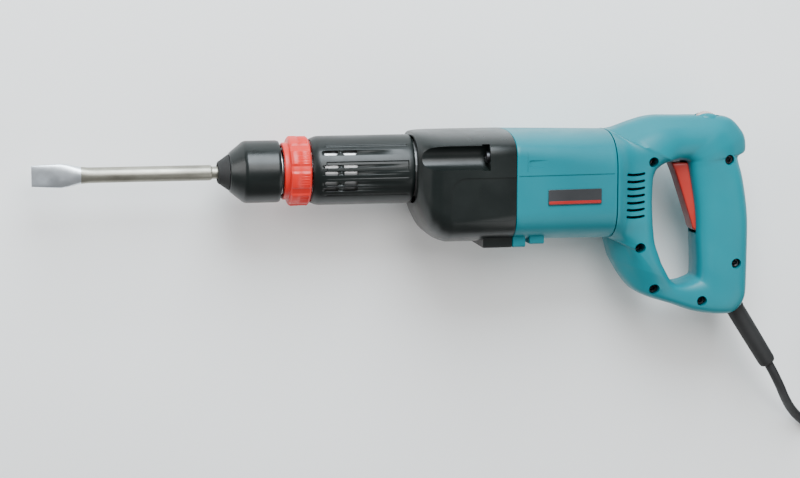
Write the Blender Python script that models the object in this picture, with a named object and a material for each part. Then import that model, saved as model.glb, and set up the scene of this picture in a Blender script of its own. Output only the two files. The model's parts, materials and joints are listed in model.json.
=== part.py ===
"""Electric chipping hammer with a D-handle, modelled as it comes apart on a bench.

The tool lies on its right side. +X runs from the chisel to the handle, +Y is the tool's top and
+Z its left side. Sizes and places are in millimetres of the tool's own frame: x from the chuck's
nose, y from the hammer axis and z from the mid-plane. place() turns them into world metres.
"""

import math

import bmesh
import bpy
from mathutils import Vector

MM = 0.001
GAP = 0.3  # between pieces that touch
ORIGIN = (161.97, -66.09, -48.0)  # the world's origin: bottom centre of the tool's box, without its lead

MOTOR_Y = -15.5  # axis of the motor
COUNTER_Y = -36.5  # axis of the countershaft
SWASH_X = 203.0  # where the swash ring rocks
MODULE = 1.0
PINION_TEETH = 9
WHEEL_TEETH = 33

HOLDER_BORE = 5.15
BALL_X = 24.0
BALL_RADIUS = 3.5
BALL_REACH = 6.5  # from the hammer axis to a ball's centre

HOUSING_FRONT = 157.0
JOINT_X = 235.0  # gear housing meets motor housing
MOTOR_END = 320.0  # motor housing meets handle
SIDE = 48.0  # half width of the housing
WALL = 3.0

TRIGGER_PIVOT = (401.0, -50.0)
DIAL_CENTRE = (407.0, 32.6)
GUARD_ROOT = (434.2, -121.3)
GUARD_DIRECTION = (0.537, -0.845)
GUARD_LENGTH = 60.0
CORD_RADIUS = 4.0

SHELL_BLUE = (0.02, 0.36, 0.44)
SHELL_BLACK = (0.014, 0.018, 0.017)
RUBBER_BLACK = (0.02, 0.02, 0.02)
RED = (0.7, 0.05, 0.04)
STEEL = (0.5, 0.49, 0.46)
ALUMINIUM = (0.62, 0.63, 0.64)
COPPER = (0.6, 0.25, 0.1)
BRASS = (0.6, 0.45, 0.18)
GRAPHITE = (0.05, 0.05, 0.055)
GREY = (0.25, 0.26, 0.27)


def place(x, y, z):
    """A point of the tool's frame in millimetres as a point of the world in metres."""
    return Vector((x - ORIGIN[0], y - ORIGIN[1], z - ORIGIN[2])) * MM


def material(name, colour, metallic, roughness):
    made = bpy.data.materials.new(name)
    made.use_nodes = True
    shader = made.node_tree.nodes["Principled BSDF"]
    shader.inputs["Base Color"].default_value = (*colour, 1)
    shader.inputs["Metallic"].default_value = metallic
    shader.inputs["Roughness"].default_value = roughness
    return made


FINISHES = {
    "plastic": (0.0, 0.4),
    "rubber": (0.0, 0.8),
    "metal": (1.0, 0.35),
}


def add_object(name, points, faces, colour, finish, origin=(0, 0, 0)):
    """An object of world points in the tool's millimetres, with its origin on a point of its axis."""
    mesh = bpy.data.meshes.new(name)
    base = place(*origin)
    mesh.from_pydata([place(*p) - base for p in points], [], faces)
    shape = bmesh.new()
    shape.from_mesh(mesh)
    bmesh.ops.recalc_face_normals(shape, faces=shape.faces)
    shape.to_mesh(mesh)
    shape.free()
    mesh.materials.append(material(name, colour, *FINISHES[finish]))
    mesh.shade_smooth()
    mesh.set_sharp_from_angle(angle=math.radians(35))
    made = bpy.data.objects.new(name, mesh)
    made.location = base
    bpy.context.scene.collection.objects.link(made)
    return made


def grid_faces(rows, columns, close_rows, close_columns):
    """Quads over a grid of points, kept row by row."""
    faces = []
    for i in range(rows if close_rows else rows - 1):
        for j in range(columns if close_columns else columns - 1):
            k = (i + 1) % rows
            m = (j + 1) % columns
            faces.append((i * columns + j, k * columns + j, k * columns + m, i * columns + m))
    return faces


def loft(rings, closed=False):
    """Points and faces through rings of equal length: a capped body, or one closed on itself."""
    count = len(rings[0])
    points = [p for ring in rings for p in ring]
    faces = grid_faces(len(rings), count, closed, True)
    if not closed:
        faces.append(tuple(range(count)))
        faces.append(tuple(range(len(points) - count, len(points))))
    return points, faces


def circle(x, radius, y=0.0, z=0.0, sides=24):
    """A circle round an axis along X."""
    angles = [2 * math.pi * i / sides for i in range(sides)]
    return [(x, y + radius * math.cos(a), z + radius * math.sin(a)) for a in angles]


def turned(name, profile, colour, finish, y=0.0, sides=24, hollow=True):
    """A body turned about an axis along X. A hollow one is a closed (x, radius) outline."""
    rings = [circle(x, radius, y, 0.0, sides) for x, radius in profile]
    points, faces = loft(rings, closed=hollow)
    return add_object(name, points, faces, colour, finish, (profile[0][0], y, 0))


def tube(name, start, end, inner, outer, colour, finish, y=0.0, sides=24):
    outline = [(start, outer), (end, outer), (end, inner), (start, inner)]
    return turned(name, outline, colour, finish, y, sides)


def prism(name, outline, low, high, colour, finish, origin=(0, 0, 0)):
    """An (x, y) outline drawn out along Z."""
    rings = [[(x, y, z) for x, y in outline] for z in (low, high)]
    points, faces = loft(rings)
    return add_object(name, points, faces, colour, finish, origin)


def block(name, low, high, colour, finish, origin=(0, 0, 0)):
    outline = [(low[0], low[1]), (high[0], low[1]), (high[0], high[1]), (low[0], high[1])]
    return prism(name, outline, low[2], high[2], colour, finish, origin)


def combine(target, tool, operation):
    """Cuts a tool out of an object, or joins it on, and keeps the tool as a hidden guide."""
    step = target.modifiers.new(tool.name, "BOOLEAN")
    step.operation = operation
    step.solver = "EXACT"
    step.object = tool
    tool.hide_render = True
    tool.display_type = "WIRE"


def rod(name, start, end, radius, colour=STEEL, finish="metal", sides=16):
    """A solid round bar between two points."""
    a, b = Vector(start), Vector(end)
    across = (b - a).orthogonal().normalized()
    other = (b - a).normalized().cross(across)
    angles = [2 * math.pi * i / sides for i in range(sides)]
    spokes = [across * math.cos(t) * radius + other * math.sin(t) * radius for t in angles]
    points, faces = loft([[tuple(p + s) for s in spokes] for p in (a, b)])
    return add_object(name, points, faces, colour, finish, start)


def spring(name, start, end, mean, wire, turns, y=0.0, steps=10, sides=5):
    """A helical spring round an axis along X, as one closed wire."""
    rings = []
    total = turns * steps
    for i in range(total + 1):
        turn = 2 * math.pi * i / steps
        x = start + wire + (end - start - 2 * wire) * i / total
        ring = []
        for k in range(sides):
            t = 2 * math.pi * k / sides
            r = mean + wire * math.cos(t)
            ring.append((x + wire * math.sin(t), y + r * math.cos(turn), r * math.sin(turn)))
        rings.append(ring)
    points, faces = loft(rings)
    return add_object(name, points, faces, STEEL, "metal")


# The chisel and the chuck


def blade_ring(x, half_width, half_thick):
    """An eight-sided section of the chisel, broad along Y."""
    c = math.tan(math.pi / 8)
    w, t = half_width * math.cos(math.pi / 8), half_thick * math.cos(math.pi / 8)
    return [
        (x, w, t * c), (x, w * c, t), (x, -w * c, t), (x, -w, t * c),
        (x, -w, -t * c), (x, -w * c, -t), (x, w * c, -t), (x, w, -t * c),
    ]


def chisel():
    """A flat chisel on a round 12.5 mm bar, with a 10 mm shank grooved for the locking balls."""
    sections = [
        (-146.7, 8.4, 0.5), (-139, 9.0, 1.6), (-124, 10.0, 3.4), (-113, 7.9, 5.0),
        (-103, 6.3, 6.1), (-4.5, 6.3, 6.3), (-4.0, 5.0, 5.0), (19.0, 5.0, 5.0),
    ]
    groove = [(20.0, 2.8), (37.0, 2.8), (38.0, 5.0), (71.0, 5.0), (71.6, 4.4)]
    rings = [blade_ring(*s) for s in sections]
    rings += [blade_ring(x, 5.0, thick) for x, thick in groove]
    points, faces = loft(rings)
    return add_object("chisel_bit", points, faces, STEEL, "metal", (-50, 0, 0))


def tool_holder():
    """The tube that takes the shank, with slots for the balls, and guides the impact bolt."""
    outline = [
        (2, 7.8), (15, 7.8), (15.5, 8.6), (43, 8.6), (43, 15), (46, 15), (46, 12), (76, 12),
        (76.5, 14.8), (92, 14.8), (92.5, 16), (126, 16), (126, 12.5), (105, 12.5), (104, 8.4),
        (72.5, 8.4), (72, HOLDER_BORE), (2, HOLDER_BORE),
    ]
    holder = turned("tool_holder", outline, STEEL, "metal", sides=20)
    slot = BALL_RADIUS + 0.5
    low, high = (BALL_X - slot, -slot, -12), (BALL_X + slot, slot, 12)
    combine(holder, block("ball_slots", low, high, STEEL, "metal"), "DIFFERENCE")


def locking_ball(name, side):
    """A steel ball whose place is its own centre."""
    bands, sides = 6, 10
    points = [(BALL_X - BALL_RADIUS, 0, side * BALL_REACH)]
    for i in range(1, bands):
        t = math.pi * i / bands
        r = BALL_RADIUS * math.sin(t)
        points += circle(BALL_X - BALL_RADIUS * math.cos(t), r, 0, side * BALL_REACH, sides)
    points.append((BALL_X + BALL_RADIUS, 0, side * BALL_REACH))
    last = len(points) - 1
    faces = []
    for j in range(sides):
        k = (j + 1) % sides
        faces.append((0, 1 + j, 1 + k))
        faces.append((last, last - sides + j, last - sides + k))
        for i in range(bands - 2):
            a, b = 1 + i * sides, 1 + (i + 1) * sides
            faces.append((a + j, a + k, b + k, b + j))
    add_object(name, points, faces, STEEL, "metal", (BALL_X, 0, side * BALL_REACH))


def chuck():
    cap = [(0, 8.2), (0.8, 9.6), (6, 13.6), (9, 14.7), (9, 9.2), (3, 8.2)]
    turned("dust_cap", cap, RUBBER_BLACK, "rubber", sides=28)
    cover = [
        (9.3, 15.2), (20.5, 24.4), (22.5, 25), (47.5, 25), (49.2, 24.3), (49.2, 23.6),
        (23.5, 23.6), (13.4, 16.2), (13.4, 10.5), (9.3, 10.5),
    ]
    turned("chuck_cover", cover, SHELL_BLACK, "plastic", sides=28)
    slope = 2.5 / 6.5  # the balls open 2.5 mm while the cover slides back 6.5 mm
    ramp = [(x, BALL_REACH + 4.1 + (BALL_X - x) * slope) for x in (16.5, 28.5)]
    keeper = [ramp[0], (16.5, 16.5), (23.8, 23.2), (28.5, 23.2), ramp[1]]
    turned("ball_keeper", keeper, STEEL, "metal")
    spring("chuck_spring", 28.9, 42.7, 11.6, 0.8, 5)
    tool_holder()
    locking_ball("locking_ball_left", 1)
    locking_ball("locking_ball_right", -1)


def change_ring():
    """The red ring that frees the holder to turn: a collar, then a body with raised lugs."""
    lugs, steps = 9, 4
    sides = lugs * steps

    def ring(x, radius, lift=0.0):
        made = []
        for i in range(sides):
            r = radius + (lift if i % steps in (1, 2) else 0.0)
            a = 2 * math.pi * i / sides
            made.append((x, r * math.cos(a), r * math.sin(a)))
        return made

    rings = [
        ring(51.5, 22.3), ring(52.2, 23), ring(55.8, 23), ring(56.2, 26.6), ring(57.0, 27.2, 0.9),
        ring(71.5, 27.2, 0.9), ring(73.0, 26.4), ring(73.0, 16.4), ring(56.5, 16.4),
        ring(56.5, 20.5), ring(51.5, 20.5),
    ]
    points, faces = loft(rings, closed=True)
    add_object("change_ring", points, faces, RED, "plastic")
    spring("change_ring_spring", 46.3, 56.2, 18.2, 0.8, 3)


# The hammer mechanism


def barrel():
    cover = [
        (74.2, 25.4), (80, 27.9), (154.5, 28), (156.6, 27.2), (156.6, 24.9), (74.2, 24.9),
    ]
    made = turned("barrel_cover", cover, SHELL_BLACK, "plastic", sides=32)
    rows = ((14.2, 18.0), (4.4, 6.9), (-1.4, 1.8), (-10.0, -6.4), (-14.6, -11.2))
    for i, (low, high) in enumerate(rows):
        for k, start in enumerate((83, 98.5)):
            name = f"vent_{i}_{k}"
            hole = block(name, (start, low, 12), (start + 12, high, 30), GREY, "plastic")
            combine(made, hole, "DIFFERENCE")
    sleeve = [(75.5, 24.6), (163, 24.6), (163, 15.3), (130, 15.3), (129, 19.4), (75.5, 19.4)]
    turned("barrel_tube", sleeve, ALUMINIUM, "metal", sides=28)
    tube("holder_bearing", 78, 90, 15.1, 19.1, STEEL, "metal")
    tube("cylinder", 128, 190, 12, 15, STEEL, "metal")


def ram():
    bolt = [(72.4, 4.6), (74, 5.0), (84, 5.0), (85, 8.1), (97, 8.1), (98, 6), (104, 6)]
    turned("impact_bolt", bolt, STEEL, "metal", sides=18, hollow=False)
    striker = [
        (113, 5.4), (114, 6), (134, 6), (135, 11.7), (141, 11.7), (141, 9.9), (144, 9.9),
        (144, 11.7), (158, 11.7),
    ]
    turned("striker", striker, STEEL, "metal", sides=20, hollow=False)


def piston():
    """A plain piston with two ears at its back for the cross pin."""
    profile = [(172, 11.7), (175, 11.7), (175, 9.9), (178, 9.9), (178, 11.7), (188, 11.7)]
    profile += [(188.01, 10.6), (209, 10.6)]
    made = turned("piston", profile, ALUMINIUM, "metal", sides=20, hollow=False)
    fork = block("fork_gap", (189, -14, -6.6), (212, 14, 6.6), GREY, "metal")
    combine(made, fork, "DIFFERENCE")
    flats = block("fork_flats", (189, -14, -14), (212, -7.8, 14), GREY, "metal")
    combine(made, flats, "DIFFERENCE")
    bore = rod("pin_bore", (SWASH_X, 0, -14), (SWASH_X, 0, 14), 5.4)
    combine(made, bore, "DIFFERENCE")
    pin = rod("piston_pin", (SWASH_X, 0, -9.0), (SWASH_X, 0, 9.0), 5.1, sides=24)
    eye = rod("pin_eye", (SWASH_X, -9, 0), (SWASH_X, 9, 0), 4.1)
    combine(pin, eye, "DIFFERENCE")


def sphere_band(radius, half, steps):
    """(x, radius) points along a sphere round the rocking centre."""
    places = [-half + 2 * half * i / steps for i in range(steps + 1)]
    return [(SWASH_X + x, math.sqrt(radius * radius - x * x)) for x in places]


def swash():
    race = [(SWASH_X - 8.5, 5.3)] + sphere_band(13.0, 8.5, 6) + [(SWASH_X + 8.5, 5.3)]
    turned("swash_race", race, STEEL, "metal", COUNTER_Y)
    band = sphere_band(13.4, 4.5, 4)
    outer = [(SWASH_X + 4.5, 16.6), (SWASH_X - 4.5, 16.6)]
    ring = turned("swash_ring", band + outer, STEEL, "metal", COUNTER_Y)
    arm = rod("swash_pin", (SWASH_X, COUNTER_Y + 15, 0), (SWASH_X, 5.5, 0), 3.0, sides=16)
    combine(ring, arm, "UNION")


def gear_outline(teeth, module, centre_y, turn):
    """(y, z) points round a gear with straight flanks, thinned so that its mate runs free."""
    pitch = module * teeth / 2
    shape = ((-0.32, -1.2), (-0.1, 0.85), (0.1, 0.85), (0.32, -1.2))
    points = []
    for i in range(teeth):
        for share, lift in shape:
            a = turn + 2 * math.pi * (i + share) / teeth
            r = pitch + module * lift
            points.append((centre_y + r * math.cos(a), r * math.sin(a)))
    return points


def gear(name, teeth, centre_y, turn, start, end, bore):
    outline = gear_outline(teeth, MODULE, centre_y, turn)
    rings = [[(x, y, z) for y, z in outline] for x in (start, end)]
    points, faces = loft(rings)
    made = add_object(name, points, faces, STEEL, "metal", (start, centre_y, 0))
    if bore:
        hole = rod(f"{name}_bore", (start - 1, centre_y, 0), (end + 1, centre_y, 0), bore)
        combine(made, hole, "DIFFERENCE")
    return made


def gears():
    gear("driven_gear", WHEEL_TEETH, COUNTER_Y, math.pi / WHEEL_TEETH, 214, 222, 5.3)
    rod("countershaft", (183, COUNTER_Y, 0), (233, COUNTER_Y, 0), 5.0)
    tube("countershaft_bearing_front", 184, 190, 5.3, 9.5, STEEL, "metal", COUNTER_Y)
    tube("countershaft_bearing_rear", 226.3, 232.3, 5.3, 8.0, STEEL, "metal", COUNTER_Y)


# The gear housing, the motor and its housing


def section(x, top, bottom, side, high, low, inset=0.0, steps=6):
    """A housing's section: flat sides between two heights, with rounded shoulders and belly."""
    half = []
    for i in range(steps + 1):
        t = math.pi / 2 * i / steps
        y = high + (top - inset - high) * math.cos(t) ** 0.8
        half.append((y, (side - inset) * math.sin(t) ** 0.8))
    for i in range(steps + 1):
        t = math.pi / 2 * i / steps
        y = low - (low - bottom - inset) * math.sin(t) ** 0.75
        half.append((y, (side - inset) * math.cos(t) ** 0.75 if i < steps else 0.0))
    mirrored = [(y, -z) for y, z in half[-2:0:-1]]
    return [(x, y, z) for y, z in half + mirrored]


GEAR_STATIONS = (
    (HOUSING_FRONT, 30.2, -29, 33, 8, -6), (160, 30.8, -39, 38, 10, -10),
    (166, 31, -51, 43.5, 12, -20), (174, 31.1, -58, 47, 13, -28),
    (182, 31.1, -61, SIDE, 13, -30), (JOINT_X - GAP, 31.1, -61, SIDE, 13, -30),
)
MOTOR_STATIONS = (
    (JOINT_X, 31, -60, SIDE, 13, -30), (280, 30.3, -60.2, 45.4, 5, -28),
    (MOTOR_END - GAP, 29.5, -60.5, 42.8, -4, -27),
)


def inner(station, shift=0.0):
    return section(station[0] + shift, *station[1:], inset=WALL)


def gear_housing():
    outside = [section(*s) for s in GEAR_STATIONS]
    inside = [inner(s) for s in reversed(GEAR_STATIONS[2:])]
    inside.append(inner(GEAR_STATIONS[1], 1.5))
    count = len(outside[0])
    mouth = [circle(161.5, 24.9, sides=count), circle(HOUSING_FRONT, 24.9, sides=count)]
    points, faces = loft(outside + inside + mouth, closed=True)
    made = add_object("gear_housing", points, faces, SHELL_BLACK, "plastic")
    foot = block("gear_foot", (222, -66.3, -14), (JOINT_X - GAP, -59, 14), GREY, "plastic")
    combine(made, foot, "UNION")
    web = block("bearing_web", (183, -60, -16), (191, -24, 16), GREY, "plastic")
    combine(made, web, "UNION")
    seat = rod("bearing_seat", (180, COUNTER_Y, 0), (195, COUNTER_Y, 0), 9.8)
    combine(made, seat, "DIFFERENCE")
    plate = [section(x, 31.1, -61, SIDE, 13, -30, WALL + GAP) for x in (226, 233)]
    points, faces = loft(plate)
    made = add_object("bearing_plate", points, faces, ALUMINIUM, "metal")
    for name, y, radius in (("motor_seat", MOTOR_Y, 11.3), ("counter_seat", COUNTER_Y, 8.3)):
        hole = rod(name, (224, y, 0), (235, y, 0), radius, sides=28)
        combine(made, hole, "DIFFERENCE")


def motor_housing():
    outside = [section(*s) for s in MOTOR_STATIONS]
    inside = [inner(s) for s in reversed(MOTOR_STATIONS)]
    points, faces = loft(outside + inside, closed=True)
    made = add_object("motor_housing", points, faces, SHELL_BLUE, "plastic")
    foot = block("motor_foot", (JOINT_X, -66.4, -14), (252, -58.5, 14), GREY, "plastic")
    combine(made, foot, "UNION")
    pad = block("motor_pad", (257, -63, -10), (270, -58.5, 10), GREY, "plastic")
    combine(made, pad, "UNION")
    plate = [section(x, 29.3, -60.4, 43.2, -3, -27, WALL + GAP) for x in (307, 312)]
    points, faces = loft(plate)
    made = add_object("rear_bearing_plate", points, faces, SHELL_BLACK, "plastic")
    hole = rod("rear_seat", (304, MOTOR_Y, 0), (315, MOTOR_Y, 0), 8.3)
    combine(made, hole, "DIFFERENCE")


def side_at(x):
    """The motor housing's half width where its sides are flat."""
    for a, b in zip(MOTOR_STATIONS, MOTOR_STATIONS[1:]):
        if x <= b[0]:
            return a[3] + (b[3] - a[3]) * (x - a[0]) / (b[0] - a[0])
    return MOTOR_STATIONS[-1][3]


def badge():
    """A blank plate that follows the left side of the motor housing."""
    rings = []
    for x in (261, 270, 280, 290, 300, 306):
        low, high = side_at(x) + GAP, side_at(x) + GAP + 0.8
        rings.append([(x, -14.5, low), (x, -14.5, high), (x, -27, high), (x, -27, low)])
    points, faces = loft(rings)
    add_object("badge_plate", points, faces, GREY, "plastic")


def armature():
    profile = [(222, 3.2), (224, 4), (316, 4)]
    shaft = turned("armature_shaft", profile, STEEL, "metal", MOTOR_Y, 20, hollow=False)
    turn = math.pi / PINION_TEETH
    pinion = gear("pinion_teeth", PINION_TEETH, MOTOR_Y, turn, 213, 223, 0)
    combine(shaft, pinion, "UNION")
    tube("armature_bearing_front", 226.3, 232.7, 4.3, 11, STEEL, "metal", MOTOR_Y)
    tube("armature_bearing_rear", 307.2, 311.8, 4.3, 8, STEEL, "metal", MOTOR_Y)
    slots, rings = 12, []
    for x in (250, 285):
        ring = []
        for i in range(slots):
            for share, radius in ((-0.38, 19.5), (0.38, 19.5), (0.42, 15), (0.58, 15)):
                a = 2 * math.pi * (i + share) / slots
                ring.append((x, MOTOR_Y + radius * math.cos(a), radius * math.sin(a)))
        rings.append(ring)
    points, faces = loft(rings)
    core = add_object("armature_core", points, faces, STEEL, "metal", (250, MOTOR_Y, 0))
    combine(core, rod("core_bore", (249, MOTOR_Y, 0), (286, MOTOR_Y, 0), 4.3), "DIFFERENCE")
    tube("commutator", 292, 304, 4.3, 9.5, COPPER, "metal", MOTOR_Y)
    hub = [(237, 4.3), (237, 34), (238.5, 34), (238.5, 9), (244, 9), (244, 4.3)]
    fan = turned("cooling_fan", hub, SHELL_BLACK, "plastic", MOTOR_Y)
    blades = []
    for i in range(9):
        a = 2 * math.pi * i / 9
        c, s = math.cos(a), math.sin(a)
        for x, r, w in ((238, 8, -1), (238, 8, 1), (238, 33, 1), (238, 33, -1)):
            blades.append((x, MOTOR_Y + r * c - w * s, r * s + w * c))
        blades += [(243.8, y, z) for _, y, z in blades[-4:]]
    quads = ((0, 1, 2, 3), (4, 5, 6, 7), (0, 1, 5, 4), (1, 2, 6, 5), (2, 3, 7, 6), (3, 0, 4, 7))
    faces = [tuple(8 * i + k for k in quad) for i in range(9) for quad in quads]
    combine(fan, add_object("fan_blades", blades, faces, GREY, "plastic"), "UNION")


def stator():
    """A ring with two inward poles, and a coil wound round each pole."""
    rings = []
    for x in (251, 284):
        outside = [(MOTOR_Y + 34 * math.cos(math.pi * i / 24), 34 * math.sin(math.pi * i / 24))
                   for i in range(48)]
        rings.append([(x, y, z) for y, z in outside])
    hollow = []
    for i in range(48):
        a = math.pi * i / 24
        away = abs(math.cos(a)) > math.cos(math.radians(29))
        r = 20.5 if away else 28.0
        hollow.append((MOTOR_Y + r * math.cos(a), r * math.sin(a)))
    rings.append([(284, y, z) for y, z in hollow])
    rings.append([(251, y, z) for y, z in hollow])
    points, faces = loft(rings, closed=True)
    add_object("stator_core", points, faces, STEEL, "metal")
    for name, side in (("field_coil_top", 1), ("field_coil_bottom", -1)):
        path = []
        turns = 24
        for i in range(turns):
            t = 2 * math.pi * i / turns
            x = 267.5 + 20.0 * math.copysign(abs(math.cos(t)) ** 0.4, math.cos(t))
            a = math.radians(45) * math.copysign(abs(math.sin(t)) ** 0.4, math.sin(t))
            path.append((x, a))
        coil = []
        for i, (x, a) in enumerate(path):
            ahead, behind = path[(i + 1) % turns], path[i - 1]
            run = Vector((ahead[0] - behind[0], (ahead[1] - behind[1]) * 24.2)).normalized()
            ring = []
            for k in range(5):
                t = 2 * math.pi / 5 * k
                off = 2.6 * math.cos(t)
                r = 24.2 + 2.6 * math.sin(t)
                b = a + run.x * off / 24.2
                px = x - run.y * off
                ring.append((px, MOTOR_Y + side * r * math.cos(b), r * math.sin(b)))
            coil.append(ring)
        points, faces = loft(coil, closed=True)
        add_object(name, points, faces, COPPER, "metal")


def brushes():
    for name, side in (("left", 1), ("right", -1)):
        low, high = sorted((side * 11.5, side * 32))
        low_y, high_y = MOTOR_Y - 6.5, MOTOR_Y + 6.5
        body = (293.5, low_y, low), (303, high_y, high)
        holder = block(f"brush_holder_{name}", *body, BRASS, "metal")
        slot = (295, MOTOR_Y - 4.3, low - 1), (301.5, MOTOR_Y + 4.3, high + 1)
        combine(holder, block(f"brush_slot_{name}", *slot, GREY, "metal"), "DIFFERENCE")
        low, high = sorted((side * 9.9, side * 26))
        brush = (295.3, MOTOR_Y - 4, low), (301.2, MOTOR_Y + 4, high)
        block(f"carbon_brush_{name}", *brush, GRAPHITE, "rubber")


# The D-handle


def smooth(t):
    t = min(1.0, max(0.0, t))
    return t * t * (3 - 2 * t)


# Each station crosses the handle's ring: outer edge, opening's edge, half width.
FREE_STATIONS = (
    ((325, -76.5), (373, -93.5), 27), ((332.3, -89.2), (375.5, -96.5), 25),
    ((339.6, -99.2), (377.5, -98), 23.5), ((346.9, -105.8), (379.5, -99), 22.5),
    ((358.4, -111), (381.5, -99.4), 21.5), ((375.8, -116.5), (385, -99.2), 21),
    ((393.2, -122.7), (389.9, -97.9), 21), ((410.7, -126), (394.5, -96), 21),
    ((425.3, -126.5), (396.9, -94.5), 21), ((432.6, -123.9), (397.7, -92.6), 21),
    ((438.3, -117.8), (397.8, -88), 21), ((441.1, -109.4), (397.7, -80), 21),
    ((441.8, -91.8), (397.2, -70), 20.5), ((442.1, -74.2), (396.6, -60), 20),
    ((442, -49.4), (396.2, -45), 20), ((440.4, -32.1), (396, -30), 20),
    ((436.8, -11.1), (395.8, -15), 20), ((433.7, 0.8), (395, -4), 20.5),
    ((434.3, 5.7), (393.5, 0), 21), ((440.5, 9.7), (391, 2), 21.5),
    ((440.1, 20.8), (389, 2.6), 22), ((435.2, 29.2), (387, 2.8), 22),
    ((427.9, 36.3), (385, 2.9), 22), ((418.8, 39.1), (383.5, 3), 22),
    ((399.7, 39.9), (381.5, 3), 23), ((380.7, 40.1), (379, 3), 24.5),
    ((359.2, 40.1), (377, 2.9), 27), ((343.8, 36.6), (375.5, 2.8), 29),
    ((326.8, 30.7), (374.2, 2.7), 31),
)
# The opening's edge and the half width opposite the motor housing, from top to bottom.
JOINT_EDGE = (
    ((373.4, 2.6), 31), ((371.6, 2.1), 31), ((369, 0.2), 31), ((366, -2.2), 31),
    ((363.2, -4.7), 31), ((361.6, -8.5), 31), ((360.5, -12.3), 31), ((360.2, -20), 31),
    ((360.2, -30.2), 31), ((361.1, -44), 31), ((362, -54), 30), ((363.1, -65.1), 29.5),
    ((365.5, -74), 29), ((367.3, -81.9), 28.5),
)
SCREWS = (
    (354, 4, 27.3), (422.5, 3.5, 18.4), (344, -66.5, 26.9), (429.5, -83, 17.8), (358.5, -102, 20.1),
    (400, -113.5, 18.5),
)


def across(near, far, start, width, level, steps=6, power=3.8):
    """Points over the handle's side, from its outer edge to the opening, starting at a height.

    Level says how slowly it climbs from there: 0 for a round edge and 1 for a gentle slope.
    """
    made = []
    for k in range(steps + 1):
        c = math.cos(math.pi * k / steps)
        t = (1 - math.copysign(abs(c) ** (2 / power), c)) / 2
        rounded = (1 - (1 - min(1.0, 2 * t)) ** power) ** (1 / power)
        rise = rounded * (1 - level) + smooth(2 * t) * level
        fall = (1 - max(0.0, 2 * t - 1) ** power) ** (1 / power)
        z = max(GAP / 2, (start + (width - start) * rise) * fall)
        made.append((near[0] + (far[0] - near[0]) * t, near[1] + (far[1] - near[1]) * t, z))
    return made


def handle_half(name, side):
    steps = 6
    rings = []
    outside = section(MOTOR_END + GAP, *MOTOR_STATIONS[-1][1:])
    inside = section(MOTOR_END + GAP, *MOTOR_STATIONS[-1][1:], inset=WALL)
    for i, (edge, width) in enumerate(JOINT_EDGE[: 2 * steps + 2]):
        _, y, z = outside[i]
        _, inner_y, inner_z = inside[i]
        run = (Vector(edge) - Vector((MOTOR_END, y))).normalized() * WALL
        back = (edge[0] - run.x, edge[1] - run.y)
        skin = across((MOTOR_END + GAP, y), edge, z, width, min(1.0, z / 25))
        lining = across((MOTOR_END + GAP, inner_y), back, inner_z, width - WALL, 1.0, 4)
        rings.append(skin + lining[::-1])
    for near, far, width in FREE_STATIONS:
        run = (Vector(far) - Vector(near)).normalized() * WALL
        skin = across(near, far, 0.0, width, 0.0)
        near_in = (near[0] + run.x, near[1] + run.y)
        far_in = (far[0] - run.x, far[1] - run.y)
        lining = across(near_in, far_in, 0.0, width - WALL, 0.0, 4)
        rings.append(skin + lining[::-1])
    rings = [[(x, y, side * z) for x, y, z in ring] for ring in rings]
    points, faces = loft(rings, closed=True)
    return add_object(name, points, faces, SHELL_BLUE, "plastic")


def merged(name, solids):
    """One hidden guide that holds several separate tools."""
    points, faces = [], []
    for more_points, more_faces in solids:
        shift = len(points)
        points += more_points
        faces += [tuple(shift + k for k in face) for face in more_faces]
    return add_object(name, points, faces, GREY, "plastic")


def post(x, y, profile, sides=10):
    """An upright turned tool at a place on the handle, from (z, radius) steps."""
    angles = [2 * math.pi * i / sides for i in range(sides)]
    spokes = [(math.cos(a), math.sin(a)) for a in angles]
    return loft([[(x + r * u, y + r * v, z) for u, v in spokes] for z, r in profile])


def slab(low, high):
    (x0, y0, z0), (x1, y1, z1) = low, high
    corners = ((x0, y0), (x1, y0), (x1, y1), (x0, y1))
    return loft([[(x, y, z) for x, y in corners] for z in (z0, z1)])


def handle():
    for name, side in (("handle_left", 1), ("handle_right", -1)):
        half = handle_half(name, side)
        bosses = []
        x, y = TRIGGER_PIVOT
        bores = [post(x, y, ((side * 9, 2.4), (side * 16, 2.4)))]
        for x, y, top in SCREWS:
            bosses.append(post(x, y, ((side * GAP / 2, 5.2), (side * top, 5.2))))
            if side > 0:
                bores.append(post(x, y, ((-1, 2.4), (12.3, 2.4), (12.4, 4.3), (45, 4.3))))
            else:
                bores.append(post(x, y, ((-12.5, 2.1), (1, 2.1))))
        combine(half, merged(f"bosses_{name}", bosses), "UNION")
        cuts = []
        for i in range(7):
            y = -4.9 - 5.8 * i
            ends = sorted((side * 24.0, side * 60.0))
            cuts.append(slab((329.5, y - 1.1, ends[0]), (346, y + 1.1, ends[1])))
        combine(half, merged(f"vents_{name}", cuts), "DIFFERENCE")
        slots = [
            slab((374.9, -58.3, -10.3), (406.6, 7.3, 10.3)),
            slab((396.4, 25.5, -5.3), (417.6, 45, 5.3)),
        ]
        combine(half, merged(f"slots_{name}", slots), "DIFFERENCE")
        a = guard_point(-16, 0, 0)
        b = guard_point(8, 0, 0)
        combine(half, rod(f"guard_hole_{name}", a, b, 8.8, sides=24), "DIFFERENCE")
        combine(half, merged(f"bores_{name}", bores), "DIFFERENCE")
    for i, (x, y, _) in enumerate(SCREWS):
        points, faces = post(x, y, ((-11.5, 1.8), (12.7, 1.8), (12.8, 3.8), (15.2, 3.8)))
        add_object(f"handle_screw_{i + 1}", points, faces, GREY, "metal", (x, y, 0))


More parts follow.
